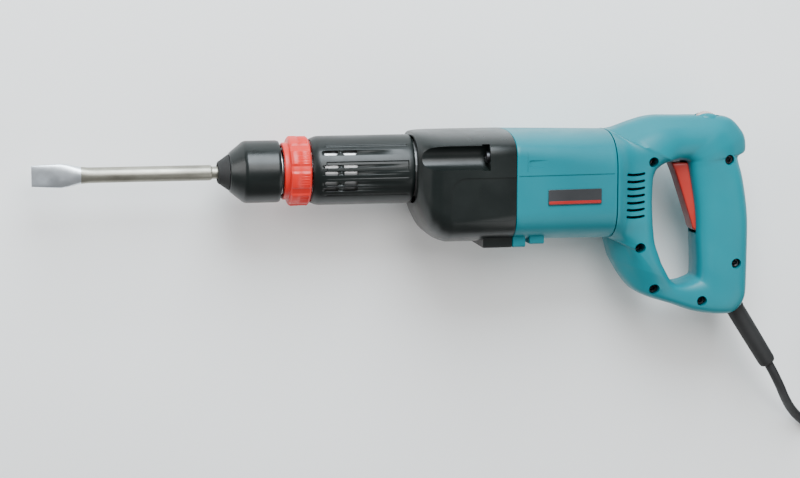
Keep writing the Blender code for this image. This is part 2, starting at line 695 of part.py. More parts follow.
def trigger():
    outline = [
        (375.6, 1.2), (378.2, -4.3), (382.8, -16.8), (388.3, -33.6), (393.6, -49.0),
        (394.6, -54.0), (398, -56), (402.5, -56), (404, -53), (404, -2), (401, 1.2),
    ]
    made = prism("trigger", outline, -9.6, 9.6, RED, "plastic", (*TRIGGER_PIVOT, 0))
    edge = made.modifiers.new("edge", "BEVEL")
    edge.width = 1.6 * MM
    edge.segments = 2
    edge.limit_method = "ANGLE"
    x, y = TRIGGER_PIVOT
    combine(made, rod("trigger_bore", (x, y, -15), (x, y, 15), 2.4), "DIFFERENCE")
    rod("trigger_pin", (x, y, -15.5), (x, y, 15.5), 2.0)
    nose = [(404.3, 1.0), (404.8, 2.2), (405.8, 3.1), (407.2, 3.4), (419, 3.4)]
    turned("switch_plunger", nose, STEEL, "metal", -12, 16, hollow=False)
    body = block("switch_body", (417.2, -40, -8.6), (428.8, -5.5, 8.6), SHELL_BLACK, "plastic")
    combine(body, rod("plunger_bore", (416, -12, 0), (427, -12, 0), 3.9), "DIFFERENCE")


def speed_dial():
    x, y = DIAL_CENTRE
    lobes = 24
    ring = []
    for i in range(2 * lobes):
        a = math.pi * i / lobes
        r = 10.0 if i % 2 else 9.5
        ring.append((x + r * math.cos(a), y + r * math.sin(a)))
    prism("speed_dial", ring, -4.6, 4.6, SHELL_BLACK, "plastic", (x, y, 0))


# The lead


def guard_point(along, off, z):
    """A point beside the cord guard's axis, which starts at the handle's corner."""
    ux, uy = GUARD_DIRECTION
    return (
        GUARD_ROOT[0] + ux * along - uy * off,
        GUARD_ROOT[1] + uy * along + ux * off,
        z,
    )


def cord_guard():
    rings = []
    shape = ((-9, 8.2), (4, 8.2), (20, 7.9), (40, 7.6), (GUARD_LENGTH - 2, 7.3), (GUARD_LENGTH, 6.4))
    for along, radius in shape:
        angles = [2 * math.pi * i / 24 for i in range(24)]
        ring = [guard_point(along, radius * math.cos(a), radius * math.sin(a)) for a in angles]
        rings.append(ring)
    points, faces = loft(rings)
    add_object("cord_guard", points, faces, RUBBER_BLACK, "rubber", guard_point(0, 0, 0))


FLOOR = -SIDE + CORD_RADIUS  # height of the lead's centre where it lies on the surface
ROUTE = (
    (466.6, -172.3, 0), (472, -181, -1.4), (480, -193.5, -7.5), (489, -206.5, -18.5),
    (499, -218.5, -30.5), (510, -229, -39.5), (523, -238.5, FLOOR + 0.2), (538, -246, FLOOR),
    (559, -250, FLOOR),
)
COIL_CENTRE = (592.0, -190.0)
COIL_MEAN = 48.0  # radius at the middle of the turns
COIL_WIDTH = 32.0
COIL_HEIGHT = 22.0
PLUG_PLACE = (652.0, -155.4)  # where the lead enters the plug, beside the coil


def smooth_curve(points, count):
    """Points on a smooth curve through the route's own points."""
    ends = [Vector(p) for p in points]
    ends = [ends[0] * 2 - ends[1], *ends, ends[-1] * 2 - ends[-2]]
    made = []
    for i in range(count + 1):
        place_on = (len(points) - 1) * i / count
        k = min(int(place_on), len(points) - 2)
        t = place_on - k
        a, b, c, d = ends[k : k + 4]
        bend = (b * 2) + (c - a) * t + (a * 2 - b * 5 + c * 4 - d) * t**2
        made.append((bend + (b * 3 - a - c * 3 + d) * t**3) / 2)
    return made


def cord_tube(name, points, count):
    curve = bpy.data.curves.new(name, "CURVE")
    curve.dimensions = "3D"
    curve.bevel_depth = CORD_RADIUS * MM
    curve.bevel_resolution = 3
    curve.use_fill_caps = True
    spline = curve.splines.new("POLY")
    path = smooth_curve(points, count)
    spline.points.add(len(path) - 1)
    for point, at in zip(spline.points, path):
        point.co = (*place(*at), 1)
    curve.materials.append(material(name, RUBBER_BLACK, *FINISHES["rubber"]))
    made = bpy.data.objects.new(name, curve)
    bpy.context.scene.collection.objects.link(made)


def flat_ring(name, centre, inner_radius, outer_radius, low, high, sides=32):
    """A ring that lies flat, with its edges rounded off."""
    round_off = 5.0
    outline = [
        (inner_radius, low), (outer_radius, low), (outer_radius, high - round_off),
        (outer_radius - round_off, high), (inner_radius + round_off, high),
        (inner_radius, high - round_off),
    ]
    rings = []
    for i in range(sides):
        a = 2 * math.pi * i / sides
        c, s = math.cos(a), math.sin(a)
        rings.append([(centre[0] + r * c, centre[1] + r * s, z) for r, z in outline])
    points, faces = loft(rings, closed=True)
    add_object(name, points, faces, RUBBER_BLACK, "rubber")


def lead():
    cord_guard()
    cord_tube("power_cord", ROUTE, 16)
    inner_radius = COIL_MEAN - COIL_WIDTH / 2
    outer_radius = COIL_MEAN + COIL_WIDTH / 2
    flat_ring("cord_coil", COIL_CENTRE, inner_radius, outer_radius, -SIDE, -SIDE + COIL_HEIGHT)
    x, y = COIL_CENTRE
    low, high = x - outer_radius - GAP, x - inner_radius + 4 * GAP
    top = -SIDE + COIL_HEIGHT + GAP
    thick = 1.6
    strap = [
        (low - thick, -SIDE), (low, -SIDE), (low, top), (high, top), (high, -SIDE),
        (high + thick, -SIDE), (high + thick, top + thick), (low - thick, top + thick),
    ]
    rings = [[(px, py, pz) for px, pz in strap] for py in (y - 6, y + 6)]
    points, faces = loft(rings)
    add_object("cord_tie", points, faces, RUBBER_BLACK, "rubber")
    plug()


def plug():
    """A moulded two-pin plug, lying on the floor at the end of the tail."""
    centre_x, start = PLUG_PLACE
    height = -SIDE + 13.0
    shape = (
        (0, 5.5, 5), (22, 6.8, 6), (24, 13, 10), (50, 17.5, 12.8), (62, 17.5, 12.8),
        (64, 16, 11.5),
    )
    rings = []
    for along, wide, tall in shape:
        angles = [2 * math.pi * (i + 0.5) / 20 for i in range(20)]
        shift = -5.0 if along < 23 else 0.0
        lift = shift + height
        ring = [(centre_x + wide * math.cos(a), start + along, lift + tall * math.sin(a))
                for a in angles]
        rings.append(ring)
    points, faces = loft(rings)
    made = add_object("plug", points, faces, RUBBER_BLACK, "rubber")
    for i, side in enumerate((-9.5, 9.5)):
        x = centre_x + side
        pin = rod(f"plug_pin_{i}", (x, start + 58, height), (x, start + 83, height), 2.4, sides=14)
        combine(made, pin, "UNION")


def clear_scene():
    for old in list(bpy.data.objects):
        bpy.data.objects.remove(old, do_unlink=True)


def main():
    clear_scene()
    chisel()
    chuck()
    change_ring()
    barrel()
    ram()
    piston()
    swash()
    gears()
    gear_housing()
    motor_housing()
    badge()
    armature()
    stator()
    brushes()
    handle()
    trigger()
    speed_dial()
    lead()


main()
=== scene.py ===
"""Looks of an electric chipping hammer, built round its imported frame.

Sizes are in millimetres of the tool's own frame, as in the frame's source: x from the chuck's
nose, y from the hammer axis, z from the mid-plane. place() turns them into world metres.
"""

import json
import math

import bmesh
import bpy
import numpy as np
from mathutils import Matrix, Vector


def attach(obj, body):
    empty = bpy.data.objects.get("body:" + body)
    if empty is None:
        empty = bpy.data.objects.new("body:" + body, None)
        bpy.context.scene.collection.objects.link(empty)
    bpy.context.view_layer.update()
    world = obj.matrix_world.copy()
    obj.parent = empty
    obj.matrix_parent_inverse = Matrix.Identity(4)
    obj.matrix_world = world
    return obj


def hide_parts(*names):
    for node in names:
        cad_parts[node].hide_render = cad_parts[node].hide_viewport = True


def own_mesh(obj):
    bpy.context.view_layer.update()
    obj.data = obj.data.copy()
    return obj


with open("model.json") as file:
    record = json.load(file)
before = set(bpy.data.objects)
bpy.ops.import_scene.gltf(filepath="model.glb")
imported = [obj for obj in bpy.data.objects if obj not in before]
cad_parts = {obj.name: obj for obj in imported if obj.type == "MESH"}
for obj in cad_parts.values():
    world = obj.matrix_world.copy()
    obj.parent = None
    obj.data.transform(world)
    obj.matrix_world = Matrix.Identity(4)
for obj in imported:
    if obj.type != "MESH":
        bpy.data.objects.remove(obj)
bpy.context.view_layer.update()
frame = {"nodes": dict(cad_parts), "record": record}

MM = 0.001
SIDE = 48.0  # half width of the housing
ORIGIN = (161.97, -66.09, -SIDE)  # the world's origin in the tool's frame
GAP = 0.3  # between pieces that touch
WALL = 3.0  # thickness of the moulded walls


def place(x, y, z):
    """A point of the tool's frame in millimetres as a point of the world in metres."""
    return Vector((x - ORIGIN[0], y - ORIGIN[1], z - ORIGIN[2])) * MM


# Camera, floor and lights

CAMERA_TARGET = (148.9, -57.6, 0.0)
CAMERA_DISTANCE = 1900.0
CAMERA_TURN = math.radians(11)  # towards the chisel
CAMERA_TILT = math.radians(8)  # towards the tool's top
CAMERA_LENS = 105.0


def make_camera():
    turn, tilt = CAMERA_TURN, CAMERA_TILT
    level = Vector((-math.sin(turn), 0, math.cos(turn))) * math.cos(tilt)
    back = level + Vector((0, math.sin(tilt), 0))
    right = Vector((math.cos(turn), 0, math.sin(turn)))
    up = back.cross(right)
    data = bpy.data.cameras.new("camera")
    data.lens = CAMERA_LENS
    data.sensor_width = 36.0
    camera = bpy.data.objects.new("camera", data)
    axes = Matrix((right, up, back)).transposed().to_4x4()
    spot = place(*CAMERA_TARGET) + back * CAMERA_DISTANCE * MM
    camera.matrix_world = Matrix.Translation(spot) @ axes
    bpy.context.scene.collection.objects.link(camera)
    bpy.context.scene.camera = camera


def area_light(name, spot, size, power, colour=(1, 1, 1)):
    data = bpy.data.lights.new(name, "AREA")
    data.size = size
    data.energy = power
    data.color = colour
    light = bpy.data.objects.new(name, data)
    light.location = spot
    aim = Vector((0.05, 0, 0.03)) - Vector(spot)
    light.rotation_euler = aim.to_track_quat("-Z", "Y").to_euler()
    bpy.context.scene.collection.objects.link(light)


def make_studio():
    world = bpy.data.worlds.new("studio")
    world.use_nodes = True
    sky = world.node_tree.nodes["Background"]
    sky.inputs["Color"].default_value = (1, 1, 1, 1)
    sky.inputs["Strength"].default_value = 0.30
    bpy.context.scene.world = world
    area_light("key_light", (0.0, 1.5, 1.1), 1.1, 68, (0.85, 0.94, 1.0))
    area_light("top_light", (0.15, 1.0, 2.2), 1.0, 26)
    area_light("fill_light", (1.3, -1.0, 1.3), 1.5, 14)
    area_light("rim_light", (-1.5, 0.5, 0.6), 0.9, 14)
    mesh = bpy.data.meshes.new("floor")
    reach = 6.0
    mesh.from_pydata([(-reach, -reach, 0), (reach, -reach, 0), (reach, reach, 0), (-reach, reach, 0)],
                     [], [(0, 1, 2, 3)])
    floor = bpy.data.objects.new("floor", mesh)
    floor.location.z = -0.0003
    bpy.context.scene.collection.objects.link(floor)
    paint = bpy.data.materials.new("floor_paint")
    paint.use_nodes = True
    shader = paint.node_tree.nodes["Principled BSDF"]
    shader.inputs["Base Color"].default_value = (0.93, 0.93, 0.92, 1)
    shader.inputs["Roughness"].default_value = 0.7
    mesh.materials.append(paint)


# Materials


class Finish:
    """A node material built step by step round one Principled shader."""

    def __init__(self, name):
        self.made = bpy.data.materials.new(name)
        self.made.use_nodes = True
        self.tree = self.made.node_tree
        self.shader = self.tree.nodes["Principled BSDF"]
        self.place = self.tree.nodes.new("ShaderNodeTexCoord").outputs["Object"]

    def add(self, kind, **inputs):
        node = self.tree.nodes.new(kind)
        for key, value in inputs.items():
            if isinstance(value, bpy.types.NodeSocket):
                self.tree.links.new(value, node.inputs[key])
            else:
                node.inputs[key].default_value = value
        return node

    def noise(self, scale, detail=4.0, roughness=0.55, stretch=None):
        where = self.place
        if stretch:
            where = self.add("ShaderNodeMapping", Vector=where, Scale=stretch).outputs[0]
        node = self.add("ShaderNodeTexNoise", Vector=where, Scale=scale, Detail=detail,
                        Roughness=roughness)
        return node.outputs["Fac"]

    def ramp(self, value, stops):
        node = self.tree.nodes.new("ShaderNodeValToRGB")
        self.tree.links.new(value, node.inputs[0])
        while len(node.color_ramp.elements) < len(stops):
            node.color_ramp.elements.new(0.5)
        for element, (at, colour) in zip(node.color_ramp.elements, stops):
            rgb = colour if isinstance(colour, tuple) else (colour, colour, colour)
            element.position = at
            element.color = (*rgb, 1)
        return node.outputs[0]

    def link(self, value, socket):
        self.tree.links.new(value, self.shader.inputs[socket])
        return self

    def bump(self, height, strength, distance, onto=None):
        """Bump from a height, laid over an earlier bump if there is one."""
        node = self.tree.nodes.new("ShaderNodeBump")
        node.inputs["Strength"].default_value = strength
        node.inputs["Distance"].default_value = distance
        self.tree.links.new(height, node.inputs["Height"])
        if onto is not None:
            self.tree.links.new(onto, node.inputs["Normal"])
        self.tree.links.new(node.outputs[0], self.shader.inputs["Normal"])
        return node.outputs[0]


def plastic(name, dark, mid, light, rough, grain, grain_depth, specular=0.5):
    """Moulded plastic: a fine spark-eroded grain, faint flow marks and uneven gloss."""
    f = Finish(name)
    tone = f.ramp(f.noise(9, 3), ((0.3, dark), (0.5, mid), (0.72, light)))
    f.link(tone, "Base Color")
    low, high = rough
    gloss = f.ramp(f.noise(38, 5, 0.6), ((0.3, low), (0.7, high)))
    f.link(gloss, "Roughness")
    first = f.bump(f.noise(grain, 2, 0.5), 0.35, grain_depth)
    f.bump(f.noise(14, 3), 0.15, 0.0004, first)
    f.shader.inputs["Specular IOR Level"].default_value = specular
    return f.made


def metal(name, dark, light, rough, stretch=(1, 1, 1), scale=300, depth=0.00002):
    """Machined or forged metal, with marks drawn out along the way it was worked."""
    f = Finish(name)
    f.shader.inputs["Metallic"].default_value = 1.0
    f.link(f.ramp(f.noise(22, 6, 0.65), ((0.3, dark), (0.7, light))), "Base Color")
    low, high = rough
    f.link(f.ramp(f.noise(60, 6, 0.6), ((0.3, low), (0.7, high))), "Roughness")
    f.bump(f.noise(scale, 3, 0.6, stretch), 0.3, depth)
    return f.made


PLASTICS = (  # slot, name, dark, middle and light tone, roughness, grain and its depth, specular
    ("blue_housing", "blue_plastic", (0.0005, 0.150, 0.185), (0.0005, 0.172, 0.21),
     (0.001, 0.195, 0.235), (0.32, 0.44), 900, 0.00006, 0.3),
    ("black_housing", "black_plastic", (0.003, 0.005, 0.0045), (0.005, 0.0075, 0.007),
     (0.008, 0.011, 0.010), (0.26, 0.38), 800, 0.00008, 0.35),
    ("red_plastic", "red_plastic", (0.60, 0.014, 0.010), (0.70, 0.022, 0.015),
     (0.78, 0.035, 0.025), (0.28, 0.4), 900, 0.00005, 0.4),
    ("trigger_red", "trigger_plastic", (0.33, 0.014, 0.010), (0.40, 0.020, 0.014),
     (0.46, 0.03, 0.02), (0.3, 0.42), 1000, 0.00005),
    ("dial_plastic", "dial_plastic", (0.46, 0.33, 0.29), (0.52, 0.39, 0.35), (0.58, 0.45, 0.41),
     (0.4, 0.55), 900, 0.00006),
    ("badge", "badge_grey", (0.022, 0.023, 0.025), (0.032, 0.033, 0.036), (0.045, 0.046, 0.05),
     (0.25, 0.38), 1200, 0.00003),
    ("stripe", "badge_red", (0.30, 0.008, 0.008), (0.36, 0.012, 0.011), (0.42, 0.016, 0.015),
     (0.25, 0.38), 1200, 0.00003),
    ("rubber", "moulded_rubber", (0.008, 0.008, 0.008), (0.013, 0.013, 0.013), (0.02, 0.02, 0.02),
     (0.55, 0.75), 1100, 0.00008, 0.35),
    ("cord_jacket", "cord_rubber", (0.009, 0.009, 0.010), (0.014, 0.014, 0.015),
     (0.02, 0.02, 0.021), (0.5, 0.66), 1300, 0.00005, 0.4),
)
METALS = (  # slot, name, dark and light tone, roughness, then the marks' stretch, scale and depth
    ("tool_steel", "forged_steel", (0.22, 0.21, 0.18), (0.42, 0.41, 0.35), (0.36, 0.5), (1, 6, 6),
     160, 0.00006),
    ("blade_steel", "ground_blade", (0.60, 0.65, 0.70), (0.82, 0.86, 0.90), (0.3, 0.45),
     (14, 1, 1), 240, 0.00004),
    ("machined_steel", "machined_steel", (0.42, 0.42, 0.42), (0.6, 0.6, 0.6), (0.2, 0.34),
     (1, 8, 8), 300),
    ("screw_steel", "black_oxide", (0.03, 0.03, 0.032), (0.07, 0.07, 0.075), (0.3, 0.45)),
    ("alloy", "cast_alloy", (0.5, 0.5, 0.5), (0.66, 0.66, 0.66), (0.35, 0.5), (1, 1, 1), 260,
     0.00006),
    ("copper", "copper", (0.55, 0.2, 0.08), (0.75, 0.32, 0.14), (0.25, 0.4), (12, 1, 1), 200),
    ("brass", "brass", (0.5, 0.36, 0.12), (0.68, 0.5, 0.2), (0.25, 0.4)),
    ("graphite", "graphite", (0.03, 0.03, 0.03), (0.06, 0.06, 0.06), (0.5, 0.65)),
)


def make_finishes():
    made = {slot: plastic(*row) for slot, *row in PLASTICS}
    made["plug_plastic"] = made["rubber"]
    made.update({slot: metal(*row) for slot, *row in METALS})
    return made


# Mesh tools


def new_object(name, points, faces, materials, sharp=38):
    """An object of points in the tool's millimetres, smooth except at edges past an angle."""
    mesh = bpy.data.meshes.new(name)
    mesh.from_pydata([place(*p) for p in points], [], faces)
    shape = bmesh.new()
    shape.from_mesh(mesh)
    bmesh.ops.recalc_face_normals(shape, faces=shape.faces)
    shape.to_mesh(mesh)
    shape.free()
    for one in materials:
        mesh.materials.append(one)
    mesh.shade_smooth()
    mesh.set_sharp_from_angle(angle=math.radians(sharp))
    made = bpy.data.objects.new(name, mesh)
    bpy.context.scene.collection.objects.link(made)
    return made


def grid_faces(rows, columns, close_rows):
    """Quads between closed rings of points, kept ring by ring."""
    faces = []
    for i in range(rows if close_rows else rows - 1):
        for j in range(columns):
            k = (i + 1) % rows
            m = (j + 1) % columns
            faces.append((i * columns + j, k * columns + j, k * columns + m, i * columns + m))
    return faces


def loft(rings, closed=False):
    """Points and faces through rings of equal length: a capped body, or one closed on itself."""
    count = len(rings[0])
    points = [tuple(p) for ring in rings for p in ring]
    faces = grid_faces(len(rings), count, closed)
    if not closed:
        faces.append(tuple(range(count)))
        faces.append(tuple(range(len(points) - count, len(points))))
    return points, faces


def drawn(outline, low, high):
    """An (x, y) outline drawn out along Z."""
    return loft([[(x, y, z) for x, y in outline] for z in (low, high)])


def squared(share, power):
    """A sine or cosine of a round outline, pushed out towards a square's by a power below 1."""
    return math.copysign(abs(share) ** power, share)


def angles(count):
    return [2 * math.pi * i / count for i in range(count)]


def circle(x, radius, y, z, sides):
    """A circle round an axis along X."""
    return [(x, y + radius * math.cos(a), z + radius * math.sin(a)) for a in angles(sides)]


def turned(name, profile, material, sides):
    """A closed (x, radius) outline turned round the hammer axis."""
    rings = [circle(x, radius, 0, 0, sides) for x, radius in profile]
    return new_object(name, *loft(rings, closed=True), [material])


def rounded(profile, radius, steps=4):
    """A closed outline with its corners cut to arcs of about that radius."""
    made = []
    for i, corner in enumerate(profile):
        here = Vector(corner)
        before = Vector(profile[i - 1])
        after = Vector(profile[(i + 1) % len(profile)])
        reach = min(radius, (before - here).length * 0.45, (after - here).length * 0.45)
        a = here + (before - here).normalized() * reach
        b = here + (after - here).normalized() * reach
        for k in range(steps + 1):
            t = k / steps
            made.append(tuple(a * (1 - t) ** 2 + here * (2 * t * (1 - t)) + b * t * t))
    return made


def combine(target, tool, operation, keep=False):
    """Cuts a tool out of an object or joins it on, at once."""
    step = target.modifiers.new("join", "BOOLEAN")
    step.operation = operation
    step.solver = "EXACT"
    step.object = tool
    bpy.context.view_layer.update()
    graph = bpy.context.evaluated_depsgraph_get()
    fresh = bpy.data.meshes.new_from_object(target.evaluated_get(graph))
    target.modifiers.clear()
    target.data = fresh
    if not keep:
        bpy.data.objects.remove(tool)


def weld(target):
    """Merges the corners that a cut leaves on top of each other."""
    mesh = bmesh.new()
    mesh.from_mesh(target.data)
    bmesh.ops.remove_doubles(mesh, verts=mesh.verts, dist=1e-7)
    mesh.to_mesh(target.data)
    mesh.free()


def soften(target, width, segments=3):
    """Rounds an object's hard edges and keeps its broad faces flat to the light."""
    step = target.modifiers.new("edges", "BEVEL")
    step.width = width * MM
    step.segments = segments
    step.limit_method = "ANGLE"
    step.angle_limit = math.radians(40)
    step.harden_normals = True


def repaint(piece, material, angle):
    """One material and clean shading for a piece whose cuts left empty slots and loose edges."""
    piece.data.materials.clear()
    piece.data.materials.append(material)
    piece.data.shade_smooth()
    piece.data.set_sharp_from_angle(angle=math.radians(angle))


def finish_piece(piece, body, slot, *nodes):
    """Ties a piece to a body and hides the frame's parts that it stands for; its slot is not used."""
    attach(piece, body)
    if nodes:
        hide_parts(*nodes)


# The lead: from the guard down to the floor, into its coil and out to the plug

CORD_RADIUS = 4.0
FLOOR = -SIDE + CORD_RADIUS
ROUTE = (
    (466.6, -172.3, 0), (472, -181, -1.4), (480, -193.5, -7.5), (489, -206.5, -18.5),
    (499, -218.5, -30.5), (510, -229, -39.5), (523, -238.5, FLOOR + 0.2), (538, -246, FLOOR),
    (559, -250, FLOOR),
)
COIL_CENTRE = (592.0, -190.0)
COIL_RADII = (60.0, 52.0, 44.0, 36.0)
COIL_TURNS = 12
COIL_STEPS = 36
PLUG_PLACE = (652.0, -155.4)


def smooth(t):
    t = min(1.0, max(0.0, t))
    return t * t * (3 - 2 * t)


def smooth_curve(points, count):
    """Points on a smooth curve through given points."""
    known = [Vector(p) for p in points]
    ends = [known[0] * 2 - known[1], *known, known[-1] * 2 - known[-2]]
    spans = len(known) - 1
    made = []
    for i in range(count + 1):
        at = spans * i / count
        k = min(int(at), spans - 1)
        t = at - k
        a, b, c, d = ends[k : k + 4]
        bend = (b * 2) + (c - a) * t + (a * 2 - b * 5 + c * 4 - d) * t**2
        made.append((bend + (b * 3 - a - c * 3 + d) * t**3) / 2)
    return made


def coil_place(turn):
    """Radius and height in the coil after so many turns: in, out and in again, layer on layer."""
    columns = len(COIL_RADII)
    order = [*COIL_RADII, *reversed(COIL_RADII), *COIL_RADII]
    k = min(int(turn), COIL_TURNS - 1)
    move = smooth((turn - k - 0.8) / 0.2)
    after = min(k + 1, COIL_TURNS - 1)
    radius = order[k] + (order[after] - order[k]) * move
    layer = k // columns + (after // columns - k // columns) * move
    return radius, layer * 7.1


def cord_path():
    """The lead's centre line: its route, a straight run on to the coil, the turns, the plug."""
    path = smooth_curve(ROUTE, 44)
    x, y = COIL_CENTRE
    total = int((COIL_TURNS + 0.25) * COIL_STEPS)
    first = 3  # the lead reaches the coil's circle just before its lowest point
    for i in range(-first, total + 1):
        turn = i / COIL_STEPS
        radius, lift = coil_place(max(0.0, turn))
        last = smooth((turn - COIL_TURNS) / 0.25)
        radius += (COIL_RADII[0] - radius) * last
        lift += math.sin(math.pi * last) * 9.5 - (lift - 4.0) * smooth(last * 2 - 1)
        if i < 0:
            path.append(Vector((x + COIL_RADII[0] * 2 * math.pi * turn, y - COIL_RADII[0], FLOOR)))
            continue
        a = 2 * math.pi * turn - math.pi / 2
        path.append(Vector((x + radius * math.cos(a), y + radius * math.sin(a), FLOOR + lift)))
    path.append(Vector((PLUG_PLACE[0], PLUG_PLACE[1] - 12, FLOOR + 4)))
    path.append(Vector((PLUG_PLACE[0], PLUG_PLACE[1] + 3, FLOOR + 4)))
    return path


def make_cord(finishes):
    """The whole lead, as one round wire."""
    curve = bpy.data.curves.new("power_lead", "CURVE")
    curve.dimensions = "3D"
    curve.bevel_depth = CORD_RADIUS * MM
    curve.bevel_resolution = 4
    curve.use_fill_caps = True
    spline = curve.splines.new("POLY")
    path = cord_path()
    spline.points.add(len(path) - 1)
    for point, at in zip(spline.points, path):
        point.co = (*place(*at), 1)
    spline.use_smooth = True
    curve.materials.append(finishes["cord_jacket"])
    lead = bpy.data.objects.new("power_lead", curve)
    bpy.context.scene.collection.objects.link(lead)
    finish_piece(lead, "housing", "cord_jacket", "power_cord", "cord_coil")
    return lead


def make_tie(finishes):
    """A hook-and-loop strap drawn round the coil's bundle."""
    x = COIL_CENTRE[0] - 48
    y = COIL_CENTRE[1]
    thick, half_wide, half_long, height = 1.2, 6.5, 17.0, 22.6
    outline = []
    for a in angles(40):
        c, s = math.cos(a), math.sin(a)
        u = squared(c, 0.45) * half_long
        v = squared(s, 0.45) * (height / 2 - 0.2) + height / 2 + 0.2
        outline.append((u, v))
    rings = []
    for off, w in ((0, half_wide), (thick, half_wide), (thick, -half_wide), (0, -half_wide)):
        grow = 1 + off / half_long
        rings.append([(x + u * grow, y + w, -SIDE + max(0.1, v + (off if v > 12 else 0)))
                      for u, v in outline])
    strap = new_object("lead_tie", *loft(rings, closed=True), [finishes["rubber"]])
    soften(strap, 0.3, 2)
    finish_piece(strap, "housing", "rubber", "cord_tie")
    return strap


def make_plug(finishes):
    """A moulded two-pin plug with a ribbed sleeve and a waisted grip."""
    centre_x, start = PLUG_PLACE
    height = -SIDE + 13.0
    rings = []
    sides = 64
    stations = 90
    for i in range(stations + 1):
        along = 63.6 * i / stations
        body = smooth((along - 21) / 6)
        grip = 1 - 0.1 * math.exp(-(((along - 40) / 7) ** 2))
        wide = 5.6 + (along / 22) * 1.2 * (1 - body) + body * (12.2 + smooth((along - 24) / 28) * -0.6)
        tall = 5.2 + (along / 22) * 0.8 * (1 - body) + body * 7.4
        if along < 20:
            ribs = 0.6 * (1 if (along % 3.4) > 1.5 else 0)
            wide -= ribs
            tall -= ribs
        edge = math.sqrt(max(0.0, 1 - max(0.0, (along - 61) / 3.2) ** 2))
        lift = height - 5.0 * (1 - smooth((along - 14) / 14))
        ring = []
        for a in angles(sides):
            c, s = math.cos(a), math.sin(a)
            power = 1.0 - 0.28 * body
            u = squared(c, power) * wide * grip * (0.9 + 0.1 * edge)
            v = squared(s, power) * tall * grip * (0.9 + 0.1 * edge)
            ring.append((centre_x + u, start + along, lift + v))
        rings.append(ring)
    body = new_object("plug_body", *loft(rings), [finishes["rubber"]], 50)
    finish_piece(body, "housing", "plug_plastic", "plug")
    pins = []
    for i, side in enumerate((-9.5, 9.5)):
        rings = []
        for along, radius in ((60, 2.4), (79, 2.4), (81, 2.2), (82.4, 1.5), (82.9, 0.6)):
            rings.append([(centre_x + side + radius * math.cos(a), start + along,
                           height + radius * math.sin(a))
                          for a in angles(32)])
        pin = new_object(f"plug_pin_{i + 1}", *loft(rings), [finishes["brass"]])
        finish_piece(pin, "housing", "brass")
        pins.append(pin)
    return [body, *pins]


# The chisel, chuck and barrel


def make_chisel(finishes):
    """A flat chisel forged out of a round bar, with a hidden shank like the solid's."""
    steps = 40
    sections = [
        (-146.7, 8.4, 0.55), (-145.9, 8.55, 0.8), (-139, 9.0, 1.6), (-131, 9.5, 2.5), (-124, 9.9, 3.3),
        (-118.5, 9.2, 4.1), (-113, 7.9, 4.9), (-108, 6.8, 5.6), (-102, 6.3, 6.15), (-96, 6.25, 6.25),
        (-60, 6.25, 6.25), (-6.2, 6.25, 6.25), (-4.9, 5.9, 5.9), (-4.2, 4.95, 4.95), (19, 4.9, 4.9),
        (20, 4.9, 2.75), (37, 4.9, 2.75), (38, 4.9, 4.9), (71, 4.9, 4.9), (71.6, 4.3, 4.3),
    ]
    rings = []
    for x, wide, thick in sections:
        flat = min(1.0, max(0.0, (-104 - x) / 24))
        power = 1 - 0.45 * flat
        ring = []
        for a in angles(steps):
            c, s = math.cos(a), math.sin(a)
            y = squared(c, power) * wide
            z = squared(s, power) * thick
            ring.append((x, y * (1 - 0.02 * flat), z))
        rings.append(ring)
    made = new_object("chisel", *loft(rings), [finishes["tool_steel"], finishes["blade_steel"]], 30)
    edge = place(-107, 0, 0).x
    for face in made.data.polygons:
        face.material_index = 1 if face.center.x < edge else 0
    finish_piece(made, "bit", "tool_steel", "chisel_bit")


def make_chuck(finishes):
    """A rubber cap with a soft lip round the bit, then the sleeve that slides back."""
    cap = [
        (0, 7.6), (0.2, 8.3), (1.2, 9.3), (1.7, 9.4), (8.4, 14.2), (9.0, 14.5), (9.0, 10.4),
        (7, 10.2), (2.4, 7.2), (0.4, 7.2),
    ]
    made = turned("chuck_dust_cap", rounded(cap, 0.5), finishes["rubber"], sides=112)
    finish_piece(made, "holder", "rubber", "dust_cap")
    cover = [
        (9.35, 15.1), (9.8, 15.9), (20.3, 24.3), (22.6, 25.0), (47.2, 25.0), (49.2, 24.4),
        (49.2, 23.7), (23.6, 23.7), (13.4, 16.3), (13.4, 10.6), (9.35, 10.6),
    ]
    made = turned("chuck_sleeve", rounded(cover, 0.7), finishes["black_housing"], sides=128)
    finish_piece(made, "sleeve", "black_housing", "chuck_cover")


def make_change_ring(finishes):
    """A collar, then a body with nine broad lugs and fine ribs moulded over its back half."""
    lugs = 9
    sides = 360

    def ring(x, radius, lift=0.0, rib=0.0):
        made = []
        for a in angles(sides):
            wave = (a * lugs / (2 * math.pi)) % 1.0
            lug = smooth((wave - 0.12) / 0.1) * smooth((0.9 - wave) / 0.1)
            ridge = 0.0
            if lug > 0.99 and rib:
                ridge = rib * (1 if (wave * 9) % 1.0 > 0.55 else 0)
            r = radius + lift * lug - ridge
            made.append((x, r * math.cos(a), r * math.sin(a)))
        return made

    rings = [
        ring(51.5, 21.6), ring(51.7, 22.4), ring(52.3, 22.9), ring(53, 23.0), ring(55.4, 23.0),
        ring(56.0, 23.4), ring(56.2, 25.9), ring(56.6, 26.5, 0.2), ring(57.3, 26.8, 0.8),
        ring(58.2, 27.0, 1.1), ring(63.8, 27.0, 1.1), ring(64.2, 26.9, 1.0, 0.45),
        ring(70.6, 26.9, 1.0, 0.45), ring(71.0, 27.0, 1.1), ring(72.0, 26.8, 0.7),
        ring(72.7, 26.3, 0.3), ring(73.0, 25.6), ring(73.0, 16.6), ring(56.5, 16.6),
        ring(56.5, 20.6), ring(51.5, 20.6),
    ]
    made = new_object("change_ring_body", *loft(rings, closed=True), [finishes["red_plastic"]], 50)
    finish_piece(made, "ring", "red_plastic", "change_ring")


